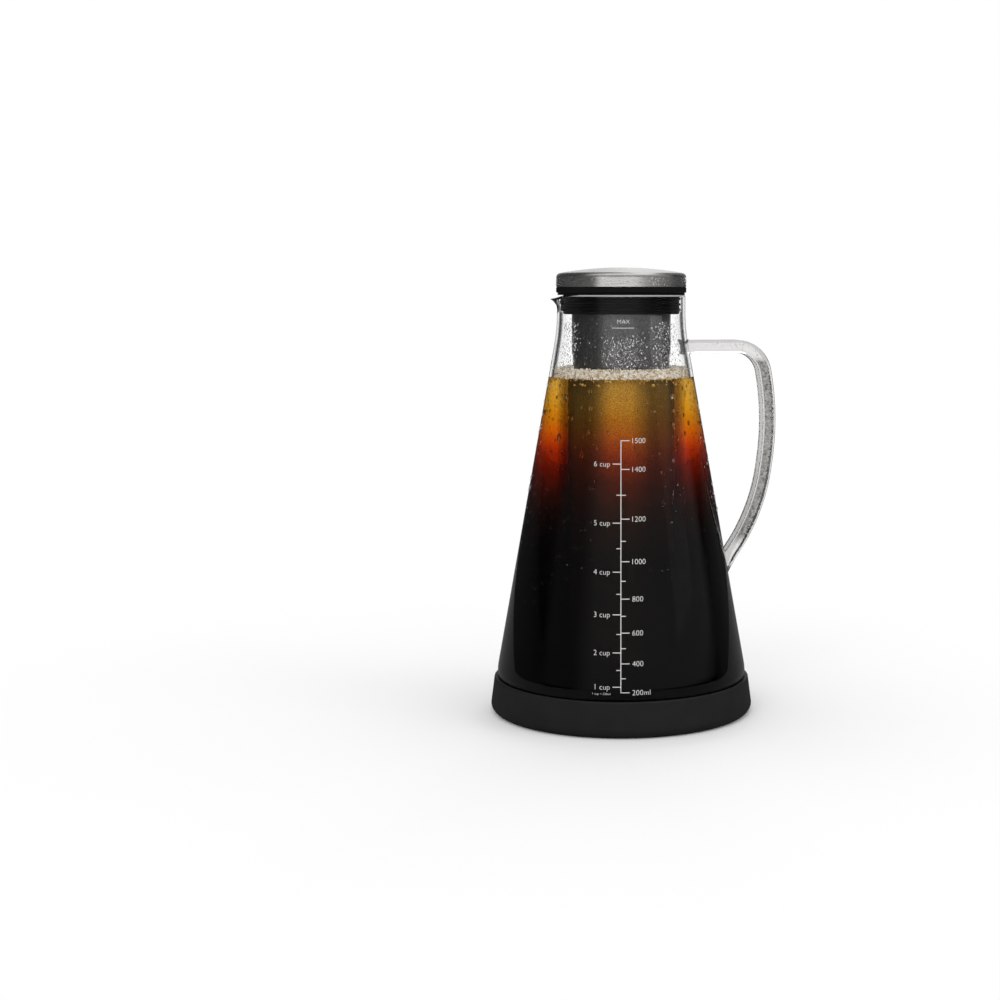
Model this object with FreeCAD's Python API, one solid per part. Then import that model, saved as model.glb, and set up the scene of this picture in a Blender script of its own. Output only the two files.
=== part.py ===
"""Cold brew coffee maker. A conical glass carafe with a fused glass handle stands in a
silicone boot, a slotted steel filter hangs in its neck from a silicone collar, and a
steel-capped lid plugs the filter's mouth.

Sizes are in millimetres, +Z is up, and the origin is on the table under the middle of
the carafe. The handle points to +X and the pouring lip to -X. Every round piece turns
about the Z axis, and its outline is drawn as (radius, height, corner rounding)."""
import FreeCAD
import Part
import math
import os

V = FreeCAD.Vector
ORIGIN = V(0, 0, 0)
UP = V(0, 0, 1)
ACROSS = V(0, 1, 0)
FULL_TURN = 360.0

# Silicone boot
BOOT_FLOOR = 3.0
BOOT_HEIGHT = 19.6
BOOT_WALL = 1.6
BOOT_GRIP_GAP = 0.3
BOOT_SIDE_ANGLE = 7.5
BOOT_FOOT_ROUND = 4.5
BOOT_LIP_BEVEL = 0.4
TREAD_INSET = 5.5
TREAD_PITCH = 5.0
TREAD_WIDTH = 1.6
TREAD_DEPTH = 0.8
TREAD_COUNT = 4

# Glass carafe
CARAFE_HEIGHT = 230.5
NECK_RADIUS = 35.6
NECK_HEIGHT = 18.3
BELLY_RADIUS = 70.0
HEEL_ROUND = 20.0
GLASS_WALL = 2.2
GLASS_FLOOR = 3.0
PUNT_INSET = 6.5
PUNT_RISE = 4.0
RIM_ROUND = 0.8

# Pouring lip, pulled out of the rim
LIP_REACH = 4.8
LIP_DEPTH = 7.8
LIP_RADIUS = 10.0
LIP_ROOT_RADIUS = 5.0
LIP_WALL = 1.9
LIP_BURY = 0.2
LIP_BLEND = 2.5
LIP_CLEAR = 0.5
LIP_DIP_INSET = 6.0
LIP_DIP_ANGLE = 10.0

# Glass handle, whose places are measured out from the neck and down from the rim
BAR_THICKNESS = 7.2
BAR_WIDTH = 12.5
BAR_CORNER = 2.4
HANDLE_DROP = 28.7
BEND_OUT = 44.1
BEND_ROUND = 16.8
GRIP_OUT = 51.4
GRIP_DROP = 67.7
GRIP_ROUND = 154.0
HEEL_OUT = 43.4
HEEL_DROP = 125.8
HANDLE_HEEL_ROUND = 109.0
FOOT_ANGLE = 37.5
WELD_FLARE = 1.6
WELD_TAPER = 0.9
WELD_LENGTH = 9.0

# Filter
SLEEVE_WALL = 0.5
SLEEVE_LENGTH = 34.0
MOUTH_FLANGE = 4.0
MOUTH_BEND = 0.3
SCREEN_WALL = 0.4
SCREEN_LAP = 6.0
FILTER_FLOOR_GAP = 12.0
CUP_HEIGHT = 9.0
CUP_FLOOR = 0.5
CUP_EDGE_BEVEL = 0.8
CUP_DISH_INSET = 8.5
CUP_DISH_RISE = 1.5
SLOT_WIDTH = 0.8
SLOT_LENGTH = 8.5
SLOT_BRIDGE = 4.0
SLOT_COLUMNS = 20
FIELD_MARGIN = 6.0
SEAM_WIDTH = 4.0
SEAM_PROUD = 0.3

# Silicone collar of the filter
COLLAR_FLANGE = 1.2
COLLAR_OVERHANG = 1.9
COLLAR_DEPTH = 10.5
COLLAR_WALL = 5.9
COLLAR_RIB_GAP = 0.3
COLLAR_RIB = 0.9
COLLAR_RIB_COUNT = 3
COLLAR_BEVEL = 0.4

# Lid
CAP_OVERHANG = 0.4
CAP_SHEET = 0.7
CAP_SIDE = 7.4
CAP_DOME_RISE = 3.3
CAP_SHOULDER_ROUND = 2.6
CAP_HEM = 0.8
GASKET_PROUD = 0.1
GASKET_FLANGE = 3.2
GASKET_WALL = 1.8
GASKET_FIN_GAP = 0.3
GASKET_FIN = 1.0
GASKET_FIN_COUNT = 2
GASKET_BEVEL = 0.5
PLUG_DEPTH = 11.0
PLUG_GAP = 3.0
PLUG_LIP = 1.1
PLUG_LIP_HEIGHT = 1.5
PLUG_WALL = 1.8
CORE_PLATE = 2.0
CORE_WEB = 1.5
CORE_WEB_COUNT = 6
CORE_BEVEL = 0.5

# Levels and radii that several pieces share
CARAFE_BASE = BOOT_FLOOR
RIM = CARAFE_BASE + CARAFE_HEIGHT
SHOULDER = RIM - NECK_HEIGHT
BORE_RADIUS = NECK_RADIUS - GLASS_WALL
PUNT_RADIUS = BELLY_RADIUS - HEEL_ROUND - PUNT_INSET
CARAFE_FLOOR = CARAFE_BASE + PUNT_RISE + GLASS_FLOOR
COLLAR_TOP = RIM + COLLAR_FLANGE
SLEEVE_RADIUS = BORE_RADIUS - COLLAR_WALL
SLEEVE_BORE = SLEEVE_RADIUS - SLEEVE_WALL
SLEEVE_END = COLLAR_TOP - SLEEVE_LENGTH
SCREEN_RADIUS = SLEEVE_BORE
SCREEN_BORE = SCREEN_RADIUS - SCREEN_WALL
FILTER_BASE = CARAFE_FLOOR + FILTER_FLOOR_GAP
CUP_TOP = FILTER_BASE + CUP_HEIGHT
CUP_DISH_RADIUS = SLEEVE_RADIUS - CUP_DISH_INSET
CAP_RADIUS = NECK_RADIUS + CAP_OVERHANG
CAP_BASE = COLLAR_TOP + GASKET_FLANGE
CAP_EDGE = CAP_BASE + CAP_SIDE
CAP_TOP = CAP_EDGE + CAP_DOME_RISE
GASKET_RADIUS = CAP_RADIUS + GASKET_PROUD
PLUG_RADIUS = SLEEVE_BORE - PLUG_GAP
PLUG_BASE = COLLAR_TOP - PLUG_DEPTH


def bent_edges(points, rounds, closed):
    """Straight runs between the points, joined by tangent arcs of the given rounding."""
    edges = []
    count = len(points)
    turned = []
    for i, (here, rounding) in enumerate(zip(points, rounds)):
        if rounding == 0 or (not closed and i in (0, count - 1)):
            turned.append((here, here))
            continue
        back = (points[i - 1] - here).normalize()
        ahead = (points[(i + 1) % count] - here).normalize()
        half = back.getAngle(ahead) / 2
        start = here + back * (rounding / math.tan(half))
        end = here + ahead * (rounding / math.tan(half))
        middle = here + (back + ahead).normalize() * (rounding / math.sin(half) - rounding)
        edges.append((i, Part.Arc(start, middle, end).toShape()))
        turned.append((start, end))
    for i in range(count if closed else count - 1):
        start = turned[i][1]
        end = turned[(i + 1) % count][0]
        if start.distanceToPoint(end) > 1e-6:
            edges.append((i + 0.5, Part.LineSegment(start, end).toShape()))
    return [edge for _, edge in sorted(edges, key=lambda pair: pair[0])]


def turned_solid(outline):
    """The solid that a closed outline of (radius, height, rounding) corners sweeps about Z."""
    points = [V(radius, 0, height) for radius, height, _ in outline]
    rounds = [rounding for _, _, rounding in outline]
    wire = Part.Wire(bent_edges(points, rounds, closed=True))
    return Part.Face(wire).revolve(ORIGIN, UP, FULL_TURN)


def ring(inner, outer, base, top):
    """A plain ring about Z."""
    return turned_solid([(inner, base, 0), (outer, base, 0), (outer, top, 0), (inner, top, 0)])


def rib_ring(root, tip, height, thickness):
    """A wedge-shaped sealing rib about Z, from its root radius out to its tip."""
    half = thickness / 2
    return turned_solid([
        (root - half, height - half, 0),
        (root, height - half, 0),
        (tip, height, 0),
        (tip, height + half / 2, 0),
        (root, height + half, 0),
        (root - half, height + half, 0),
    ])


def edges_where(shape, wanted):
    """The edges of a shape whose middle point passes the test."""
    found = []
    for edge in shape.Edges:
        middle = edge.valueAt((edge.FirstParameter + edge.LastParameter) / 2)
        if wanted(middle):
            found.append(edge)
    return found


# Boot

def boot_lip_radius():
    return BELLY_RADIUS + BOOT_GRIP_GAP + BOOT_WALL


def base_boot():
    """The silicone cup under the carafe, open to above the glass heel so that it pulls off."""
    flare = math.tan(math.radians(BOOT_SIDE_ANGLE))
    foot_radius = boot_lip_radius() + BOOT_HEIGHT * flare
    body = turned_solid([
        (0, 0, 0),
        (foot_radius, 0, BOOT_FOOT_ROUND),
        (boot_lip_radius(), BOOT_HEIGHT - BOOT_LIP_BEVEL, 0),
        (boot_lip_radius() - BOOT_LIP_BEVEL, BOOT_HEIGHT, 0),
        (0, BOOT_HEIGHT, 0),
    ])
    seat_radius = BELLY_RADIUS + BOOT_GRIP_GAP
    seat_top = BOOT_HEIGHT + HEEL_ROUND
    seat = turned_solid([
        (0, BOOT_FLOOR, 0),
        (seat_radius, BOOT_FLOOR, HEEL_ROUND + BOOT_GRIP_GAP),
        (seat_radius, seat_top, 0),
        (0, seat_top, 0),
    ])
    grooves = []
    for i in range(TREAD_COUNT):
        outer = BELLY_RADIUS - TREAD_INSET - i * TREAD_PITCH
        grooves.append(ring(outer - TREAD_WIDTH, outer, 0, TREAD_DEPTH))
    return body.cut([seat] + grooves)


# Carafe

def wall_angle(neck, belly, heel, floor, shoulder):
    """Angle from the vertical of the cone that runs from the shoulder onto the heel's arc."""
    out = belly - heel - neck
    down = shoulder - floor - heel
    return math.atan2(out, down) + math.asin(heel / math.hypot(out, down))


def flask(neck, belly, heel, floor, shoulder, shoulder_round, top):
    """A solid of the carafe's form: neck, cone and rounded heel on a flat floor."""
    angle = wall_angle(neck, belly, heel, floor, shoulder)
    foot = neck + (shoulder - floor) * math.tan(angle)
    return turned_solid([
        (0, floor, 0),
        (foot, floor, heel),
        (neck, shoulder, shoulder_round),
        (neck, top, 0),
        (0, top, 0),
    ])


def carafe_angle():
    return wall_angle(NECK_RADIUS, BELLY_RADIUS, HEEL_ROUND, CARAFE_BASE, SHOULDER)


def shoulder_round():
    """Rounding of the shoulder, whose arc runs up the neck to just under the lip."""
    return (NECK_HEIGHT - LIP_DEPTH - LIP_CLEAR) / math.tan(carafe_angle() / 2)


def outer_flask():
    """The carafe's outside, filled."""
    return flask(NECK_RADIUS, BELLY_RADIUS, HEEL_ROUND, CARAFE_BASE, SHOULDER, shoulder_round(), RIM)


def inner_flask():
    """The carafe's inside, up to the rim."""
    shoulder = SHOULDER - GLASS_WALL * math.tan(carafe_angle() / 2)
    return flask(BORE_RADIUS, BELLY_RADIUS - GLASS_WALL, HEEL_ROUND - GLASS_WALL,
                 CARAFE_BASE + GLASS_FLOOR, shoulder, shoulder_round() + GLASS_WALL, RIM)


def lip_form(face_radius, thinner):
    """The slanting cone pulled out of a neck face of that radius, thinner by a wall inside."""
    root_radius = LIP_ROOT_RADIUS - thinner
    tip_radius = LIP_RADIUS - thinner
    root = Part.makeCircle(root_radius, V(root_radius + LIP_BURY - face_radius, 0, RIM - LIP_DEPTH), UP)
    tip = Part.makeCircle(tip_radius, V(LIP_RADIUS - NECK_RADIUS - LIP_REACH, 0, RIM), UP)
    return Part.makeLoft([Part.Wire(root), Part.Wire(tip)], True, True)


def lip_dip():
    """The wedge of space over the rim that lowers it smoothly towards the lip's tip."""
    start = LIP_DIP_INSET - BORE_RADIUS
    block = Part.makeBox(BORE_RADIUS, 2 * BORE_RADIUS, BORE_RADIUS, V(start - BORE_RADIUS, -BORE_RADIUS, RIM))
    block.rotate(V(start, 0, RIM), ACROSS, -LIP_DIP_ANGLE)
    return block


def punt_dome(rise):
    """The ball whose top pushes the carafe's floor up, raised by the glass over it."""
    radius = (PUNT_RADIUS ** 2 + PUNT_RISE ** 2) / (2 * PUNT_RISE) + rise
    return Part.makeSphere(radius, V(0, 0, CARAFE_BASE + PUNT_RISE + rise - radius))


def carafe_glass():
    """The blown vessel with its pulled lip, fire-polished rim and raised floor."""
    outside = outer_flask().fuse(lip_form(NECK_RADIUS, 0))
    lip_top = RIM - LIP_DEPTH
    crease = edges_where(outside, lambda p: p.x < LIP_RADIUS - NECK_RADIUS
                         and lip_top < p.z < RIM - LIP_BURY)
    outside = outside.makeFillet(LIP_BLEND, crease)
    inside = inner_flask().cut(punt_dome(GLASS_FLOOR)).fuse(lip_form(BORE_RADIUS, LIP_WALL))
    dip = lip_dip()
    glass = outside.cut([inside, punt_dome(0), dip])
    rim_faces = [face for face in glass.Faces
                 if face.Surface.TypeId == "Part::GeomPlane" and face.CenterOfMass.z > RIM - LIP_DEPTH / 2]
    rim_edges = [edge for face in rim_faces for edge in face.Edges if edge.Length > 2 * GLASS_WALL]
    return glass.makeFillet(RIM_ROUND, rim_edges)


# Handle

def handle_corners():
    """Corners of the bar's middle line, from inside the neck round to inside the cone."""
    top = RIM - HANDLE_DROP
    bend = V(NECK_RADIUS + BEND_OUT, 0, top)
    grip = V(NECK_RADIUS + GRIP_OUT, 0, RIM - GRIP_DROP)
    heel = V(NECK_RADIUS + HEEL_OUT, 0, RIM - HEEL_DROP)
    slant = math.radians(FOOT_ANGLE)
    foot_length = HEEL_OUT / math.sin(slant)
    foot = heel + V(-math.sin(slant), 0, -math.cos(slant)) * foot_length
    return [V(0, 0, top), bend, grip, heel, foot]


def bar_section(centre, along, scale):
    """The bar's rounded oblong section, square to a direction in the XZ plane."""
    side = along.cross(ACROSS)
    half_thick = BAR_THICKNESS / 2 * scale
    half_wide = BAR_WIDTH / 2 * scale
    corners = [centre + side * (a * half_thick) + ACROSS * (b * half_wide)
               for a, b in ((-1, -1), (1, -1), (1, 1), (-1, 1))]
    return Part.Wire(bent_edges(corners, [BAR_CORNER * scale] * 4, closed=True))


def weld(centre, along):
    """The swelling where the bar is melted on, tapering out from inside the wall."""
    swell = 1 + 2 * WELD_FLARE / BAR_THICKNESS
    swollen = bar_section(centre - along * BAR_THICKNESS, along, swell)
    tapered = bar_section(centre + along * WELD_LENGTH, along, WELD_TAPER)
    return Part.makeLoft([swollen, tapered], True, True)


def carafe_handle():
    """The bent glass bar, cut to lie on the outside of the neck and the cone."""
    corners = handle_corners()
    rounds = [0, BEND_ROUND, GRIP_ROUND, HANDLE_HEEL_ROUND, 0]
    path = Part.Wire(bent_edges(corners, rounds, closed=False))
    pipe = Part.BRepOffsetAPI.MakePipeShell(path)
    pipe.setBiNormalMode(ACROSS)
    pipe.add(bar_section(corners[0], V(1, 0, 0), 1.0))
    pipe.build()
    pipe.makeSolid()
    outside = outer_flask()
    top_weld = weld(V(NECK_RADIUS, 0, corners[0].z), V(1, 0, 0))
    foot_run = corners[4] - corners[3]
    wall = foot_on_wall(corners[3], foot_run)
    foot_weld = weld(wall, (foot_run * -1).normalize())
    bar = pipe.shape().fuse([top_weld, foot_weld]).cut(outside)
    return max(bar.Solids, key=lambda solid: solid.Volume)


def foot_on_wall(heel, run):
    """Where the bar's last run crosses the outside of the cone."""
    slope = math.tan(carafe_angle())
    excess = heel.x - NECK_RADIUS - (SHOULDER - heel.z) * slope
    share = excess / (-run.x - run.z * slope)
    return heel + run * share


# Filter

def filter_mouth_ring():
    """The drawn steel sleeve at the top of the filter, turned out into a flange."""
    flange_radius = SLEEVE_RADIUS + MOUTH_FLANGE
    return turned_solid([
        (SLEEVE_BORE, SLEEVE_END, 0),
        (SLEEVE_RADIUS, SLEEVE_END, 0),
        (SLEEVE_RADIUS, COLLAR_TOP - SLEEVE_WALL, 0),
        (flange_radius, COLLAR_TOP - SLEEVE_WALL, 0),
        (flange_radius, COLLAR_TOP, 0),
        (SLEEVE_BORE + MOUTH_BEND, COLLAR_TOP, 0),
        (SLEEVE_BORE, COLLAR_TOP - MOUTH_BEND, 0),
    ])


def filter_collar():
    """The silicone collar: a flange that hangs on the rim and a ribbed sleeve in the neck."""
    flange_radius = BORE_RADIUS + COLLAR_OVERHANG
    rib_tip = BORE_RADIUS - COLLAR_RIB_GAP
    sleeve_radius = rib_tip - COLLAR_RIB
    base = RIM - COLLAR_DEPTH
    body = turned_solid([
        (SLEEVE_RADIUS, base, 0),
        (sleeve_radius - COLLAR_BEVEL, base, 0),
        (sleeve_radius, base + COLLAR_BEVEL, 0),
        (sleeve_radius, RIM, 0),
        (flange_radius, RIM, 0),
        (flange_radius, COLLAR_TOP - COLLAR_BEVEL, 0),
        (flange_radius - COLLAR_BEVEL, COLLAR_TOP, 0),
        (SLEEVE_RADIUS, COLLAR_TOP, 0),
    ])
    pitch = COLLAR_DEPTH / (COLLAR_RIB_COUNT + 0.5)
    ribs = [rib_ring(sleeve_radius, rib_tip, RIM - pitch * (i + 0.75), 2 * COLLAR_RIB)
            for i in range(COLLAR_RIB_COUNT)]
    recess = ring(0, SLEEVE_RADIUS + MOUTH_FLANGE, COLLAR_TOP - SLEEVE_WALL, COLLAR_TOP)
    return body.fuse(ribs).cut(recess)


def slot_rows():
    """Heights at the bottom of each row of slots, centred between the cup and the sleeve."""
    low = CUP_TOP + FIELD_MARGIN
    room = SLEEVE_END - FIELD_MARGIN - low
    pitch = SLOT_LENGTH + SLOT_BRIDGE
    rows = int((room + SLOT_BRIDGE) // pitch)
    start = low + (room + SLOT_BRIDGE - rows * pitch) / 2
    return [start + i * pitch for i in range(rows)]


def filter_screen():
    """The rolled screen: a slotted tube with a lapped seam, from the sleeve into the cup."""
    base = FILTER_BASE + CUP_EDGE_BEVEL
    tube = ring(SCREEN_BORE, SCREEN_RADIUS, base, SLEEVE_END + SCREEN_LAP)
    seam_angle = math.degrees(SEAM_WIDTH / SCREEN_RADIUS)
    seam = Part.makeCylinder(SCREEN_RADIUS + SEAM_PROUD, SLEEVE_END - CUP_TOP, V(0, 0, CUP_TOP), UP, seam_angle)
    seam = seam.cut(Part.makeCylinder(SCREEN_BORE, SLEEVE_END, ORIGIN, UP))
    seam.rotate(ORIGIN, UP, -seam_angle / 2)
    step = FULL_TURN / SLOT_COLUMNS
    cutters = []
    for height in slot_rows():
        for column in range(SLOT_COLUMNS):
            cutter = Part.makeBox(SCREEN_RADIUS, SLOT_WIDTH, SLOT_LENGTH,
                                  V(SCREEN_BORE / 2, -SLOT_WIDTH / 2, height))
            cutter.rotate(ORIGIN, UP, step * (column + 0.5))
            cutters.append(cutter)
    return tube.cut(Part.makeCompound(cutters)).fuse(seam).Solids[0]


def filter_base_cup():
    """The drawn steel cup that closes the screen, its floor dished upwards."""
    dish = CUP_DISH_RISE
    return turned_solid([
        (0, FILTER_BASE + dish, 0),
        (CUP_DISH_RADIUS - dish, FILTER_BASE + dish, 0),
        (CUP_DISH_RADIUS, FILTER_BASE, 0),
        (SLEEVE_RADIUS - CUP_EDGE_BEVEL, FILTER_BASE, 0),
        (SLEEVE_RADIUS, FILTER_BASE + CUP_EDGE_BEVEL, 0),
        (SLEEVE_RADIUS, CUP_TOP, 0),
        (SCREEN_RADIUS, CUP_TOP, 0),
        (SCREEN_RADIUS, FILTER_BASE + CUP_EDGE_BEVEL, 0),
        (SCREEN_RADIUS - CUP_EDGE_BEVEL + CUP_FLOOR, FILTER_BASE + CUP_FLOOR, 0),
        (CUP_DISH_RADIUS, FILTER_BASE + CUP_FLOOR, 0),
        (CUP_DISH_RADIUS - dish, FILTER_BASE + dish + CUP_FLOOR, 0),
        (0, FILTER_BASE + dish + CUP_FLOOR, 0),
    ])


# Lid

def domed_disc(radius, base, edge, crown, rounding):
    """A disc about Z whose side rolls smoothly over into a shallow domed top."""
    rise = crown - edge
    ball = (radius ** 2 + rise ** 2) / (2 * rise)
    lean = math.asin((radius - rounding) / (ball - rounding))
    middle = V(0, 0, crown - ball)
    roll = middle + V(math.sin(lean), 0, math.cos(lean)) * (ball - rounding)

    def at(centre, reach, angle):
        return centre + V(math.sin(angle), 0, math.cos(angle)) * reach

    side = math.pi / 2
    corners = [V(0, 0, crown), V(0, 0, base), V(radius, 0, base), at(roll, rounding, side)]
    shoulder = Part.Arc(corners[3], at(roll, rounding, (side + lean) / 2), at(roll, rounding, lean))
    dome = Part.Arc(at(middle, ball, lean), at(middle, ball, lean / 2), corners[0])
    edges = bent_edges(corners, [0] * len(corners), closed=False) + [shoulder.toShape(), dome.toShape()]
    return Part.Face(Part.Wire(edges)).revolve(ORIGIN, UP, FULL_TURN)


def cap_inside():
    """The space inside the steel cap."""
    return domed_disc(CAP_RADIUS - CAP_SHEET, CAP_BASE, CAP_EDGE - CAP_SHEET,
                      CAP_TOP - CAP_SHEET, CAP_SHOULDER_ROUND - CAP_SHEET)


def lid_cap():
    """The drawn steel cap, hemmed inwards round its open edge."""
    shell = domed_disc(CAP_RADIUS, CAP_BASE, CAP_EDGE, CAP_TOP, CAP_SHOULDER_ROUND)
    hem = ring(CAP_RADIUS - CAP_SHEET - CAP_HEM, CAP_RADIUS - CAP_SHEET, CAP_BASE, CAP_BASE + CAP_SHEET)
    return shell.cut(cap_inside()).fuse(hem)


def lid_core():
    """The moulded core: a plate in the cap and a ribbed hollow plug that holds the gasket."""
    plate_top = CAP_BASE + CAP_SHEET + CORE_PLATE
    fill_radius = CAP_RADIUS - CAP_SHEET
    plate = turned_solid([
        (0, CAP_BASE, 0),
        (fill_radius - CAP_HEM, CAP_BASE, 0),
        (fill_radius - CAP_HEM, CAP_BASE + CAP_SHEET, 0),
        (fill_radius, CAP_BASE + CAP_SHEET, 0),
        (fill_radius, plate_top, 0),
        (0, plate_top, 0),
    ])
    lip_radius = PLUG_RADIUS + PLUG_LIP
    plug = turned_solid([
        (0, PLUG_BASE, 0),
        (lip_radius - CORE_BEVEL, PLUG_BASE, 0),
        (lip_radius, PLUG_BASE + CORE_BEVEL, 0),
        (lip_radius, PLUG_BASE + PLUG_LIP_HEIGHT, 0),
        (PLUG_RADIUS, PLUG_BASE + PLUG_LIP_HEIGHT, 0),
        (PLUG_RADIUS, plate_top, 0),
        (0, plate_top, 0),
    ])
    well_radius = PLUG_RADIUS - PLUG_WALL
    well_floor = PLUG_BASE + PLUG_WALL
    well = ring(0, well_radius, well_floor, plate_top)
    crown = cap_inside()
    webs = []
    for i in range(CORE_WEB_COUNT):
        web = Part.makeBox(fill_radius, CORE_WEB, CAP_TOP - well_floor, V(0, -CORE_WEB / 2, well_floor))
        web.rotate(ORIGIN, UP, FULL_TURN * i / CORE_WEB_COUNT)
        webs.append(web)
    room = crown.cut(ring(0, CAP_RADIUS, CAP_BASE, plate_top)).fuse(well)
    ribs = webs[0].fuse(webs[1:]).common(room)
    return plate.fuse(plug).cut(well).fuse(ribs)


def lid_gasket():
    """The silicone gasket: a ring under the cap and a finned sleeve round the plug."""
    fin_tip = SLEEVE_BORE - GASKET_FIN_GAP
    sleeve_radius = PLUG_RADIUS + GASKET_WALL
    base = PLUG_BASE + PLUG_LIP_HEIGHT
    body = turned_solid([
        (PLUG_RADIUS, base, 0),
        (sleeve_radius, base, 0),
        (sleeve_radius, COLLAR_TOP, 0),
        (GASKET_RADIUS - GASKET_BEVEL, COLLAR_TOP, 0),
        (GASKET_RADIUS, COLLAR_TOP + GASKET_BEVEL, 0),
        (GASKET_RADIUS, CAP_BASE - GASKET_BEVEL, 0),
        (GASKET_RADIUS - GASKET_BEVEL, CAP_BASE, 0),
        (PLUG_RADIUS, CAP_BASE, 0),
    ])
    pitch = (COLLAR_TOP - base) / (GASKET_FIN_COUNT + 0.5)
    fins = [rib_ring(sleeve_radius, fin_tip, COLLAR_TOP - pitch * (i + 1), GASKET_FIN)
            for i in range(GASKET_FIN_COUNT)]
    return body.fuse(fins)


PIECES = (
    base_boot,
    carafe_glass,
    carafe_handle,
    filter_collar,
    filter_mouth_ring,
    filter_screen,
    filter_base_cup,
    lid_cap,
    lid_core,
    lid_gasket,
)


def main():
    os.makedirs("parts", exist_ok=True)
    for make_piece in PIECES:
        make_piece().exportStep(os.path.join("parts", make_piece.__name__ + ".step"))


main()
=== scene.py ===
"""Glassware, drink, condensation, print and finishes for a cold brew coffee maker, built
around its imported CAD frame. Sizes are in metres, +Z is up and the handle points to +X."""
import math

import bpy
import numpy as np
from bpy.props import FloatProperty, FloatVectorProperty, IntProperty, PointerProperty, StringProperty
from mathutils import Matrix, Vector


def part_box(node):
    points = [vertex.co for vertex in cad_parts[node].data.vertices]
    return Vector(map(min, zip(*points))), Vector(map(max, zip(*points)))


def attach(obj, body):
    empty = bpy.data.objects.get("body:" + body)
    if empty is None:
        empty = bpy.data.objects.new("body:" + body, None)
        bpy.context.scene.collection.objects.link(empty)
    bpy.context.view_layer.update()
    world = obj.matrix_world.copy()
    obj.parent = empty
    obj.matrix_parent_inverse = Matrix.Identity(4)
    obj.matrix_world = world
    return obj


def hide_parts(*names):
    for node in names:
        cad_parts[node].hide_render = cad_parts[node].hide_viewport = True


bl_info = {
    "name": "Cold Brew Coffee Maker",
    "version": (1, 0, 0),
    "blender": (4, 5, 0),
    "location": "3D View > Sidebar > Cold Brew",
    "description": "Dresses the coffee maker's frame with glass, coffee, foam, dew, print and finishes",
    "category": "Add Mesh",
}

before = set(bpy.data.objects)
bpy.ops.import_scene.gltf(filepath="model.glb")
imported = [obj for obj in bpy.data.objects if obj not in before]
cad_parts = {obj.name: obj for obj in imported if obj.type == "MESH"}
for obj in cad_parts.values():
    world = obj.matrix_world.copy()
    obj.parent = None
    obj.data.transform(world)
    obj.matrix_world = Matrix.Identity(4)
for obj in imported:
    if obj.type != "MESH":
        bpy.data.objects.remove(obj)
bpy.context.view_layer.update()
MM = 0.001
FULL_TURN = 2 * math.pi
LIP_DIRECTION = math.pi
BAR_MAP = "bar"
WHITE = (1.0, 1.0, 1.0)


def length(label, text, default):
    return FloatProperty(name=label, description=text, default=default, unit="LENGTH", precision=5)


def colour(label, text, default):
    return FloatVectorProperty(name=label, description=text, default=default, subtype="COLOR",
                               size=3, min=0.0, max=1.0)


def share(label, text, default):
    return FloatProperty(name=label, description=text, default=default, subtype="FACTOR",
                         min=0.0, max=1.0)


def count(label, text, default):
    return IntProperty(name=label, description=text, default=default, min=0)


def angle(label, text, degrees):
    return FloatProperty(name=label, description=text, default=math.radians(degrees), subtype="ANGLE")


def setting(label, text, default):
    return FloatProperty(name=label, description=text, default=default)


# Sizes and colours that a user would change


class VesselSizes(bpy.types.PropertyGroup):
    base: length("Base", "Height of the glass foot over the table", 3 * MM)
    rim: length("Rim", "Height of the glass rim over the table", 233.5 * MM)
    shoulder: length("Shoulder", "Height where the neck meets the cone", 215.2 * MM)
    neck_radius: length("Neck radius", "Outside radius of the neck", 35.6 * MM)
    belly_radius: length("Belly radius", "Outside radius at the widest place", 70 * MM)
    heel_round: length("Heel rounding", "Radius of the arc from the wall into the foot", 20 * MM)
    shoulder_run: length("Shoulder run", "How far the shoulder's arc runs up the neck", 10 * MM)
    wall: length("Wall", "Thickness of the glass wall", 2.2 * MM)
    floor: length("Floor", "Thickness of the glass floor", 3 * MM)
    punt_radius: length("Punt radius", "Radius of the dome pushed up under the floor", 43.5 * MM)
    punt_rise: length("Punt rise", "How far the floor is pushed up in the middle", 4 * MM)
    rim_round: length("Rim rounding", "Rounding of the fire-polished rim", 0.9 * MM)
    lip_reach: length("Lip reach", "How far the pouring lip is pulled out", 4.6 * MM)
    lip_depth: length("Lip depth", "Height of the pulled part below the rim", 7.8 * MM)
    lip_spread: angle("Lip spread", "Half of the angle that the lip takes up", 17)
    dip_start: length("Dip start", "Distance from the axis where the rim begins to dip", 27.4 * MM)
    dip_slope: share("Dip slope", "Fall of the rim towards the lip's tip", 0.17)
    segments: count("Segments", "Facets round the vessel", 256)


class HandleSizes(bpy.types.PropertyGroup):
    thickness: length("Thickness", "Bar thickness in the plane of the handle", 7.2 * MM)
    width: length("Width", "Bar width across the handle", 12.5 * MM)
    corner: length("Corner", "Rounding of the bar's corners", 2.4 * MM)
    top: length("Top", "Height of the bar's upper arm", 204.8 * MM)
    bend_out: length("Bend", "Distance of the upper bend from the axis", 79.7 * MM)
    bend_round: length("Bend rounding", "Radius of the upper bend", 16.8 * MM)
    grip_out: length("Grip", "Distance of the grip's corner from the axis", 86.98 * MM)
    grip_height: length("Grip height", "Height of the grip's corner", 165.8 * MM)
    grip_round: length("Grip rounding", "Radius of the grip's curve", 154 * MM)
    heel_out: length("Heel", "Distance of the lower corner from the axis", 79 * MM)
    heel_height: length("Heel height", "Height of the lower corner", 107.7 * MM)
    heel_round: length("Heel rounding", "Radius of the lower curve", 109 * MM)
    foot_angle: angle("Foot angle", "Lean of the last run from the vertical", 37.5)
    weld_flare: share("Weld flare", "How much wider the bar is where it is melted on", 0.25)
    weld_length: length("Weld length", "Length of bar that takes up the flare", 9 * MM)
    strip_low: length("Band foot", "Height where the dark band in the bar ends", 92 * MM)
    strip_high: length("Band top", "Height where the dark band in the bar starts", 199 * MM)


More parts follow.
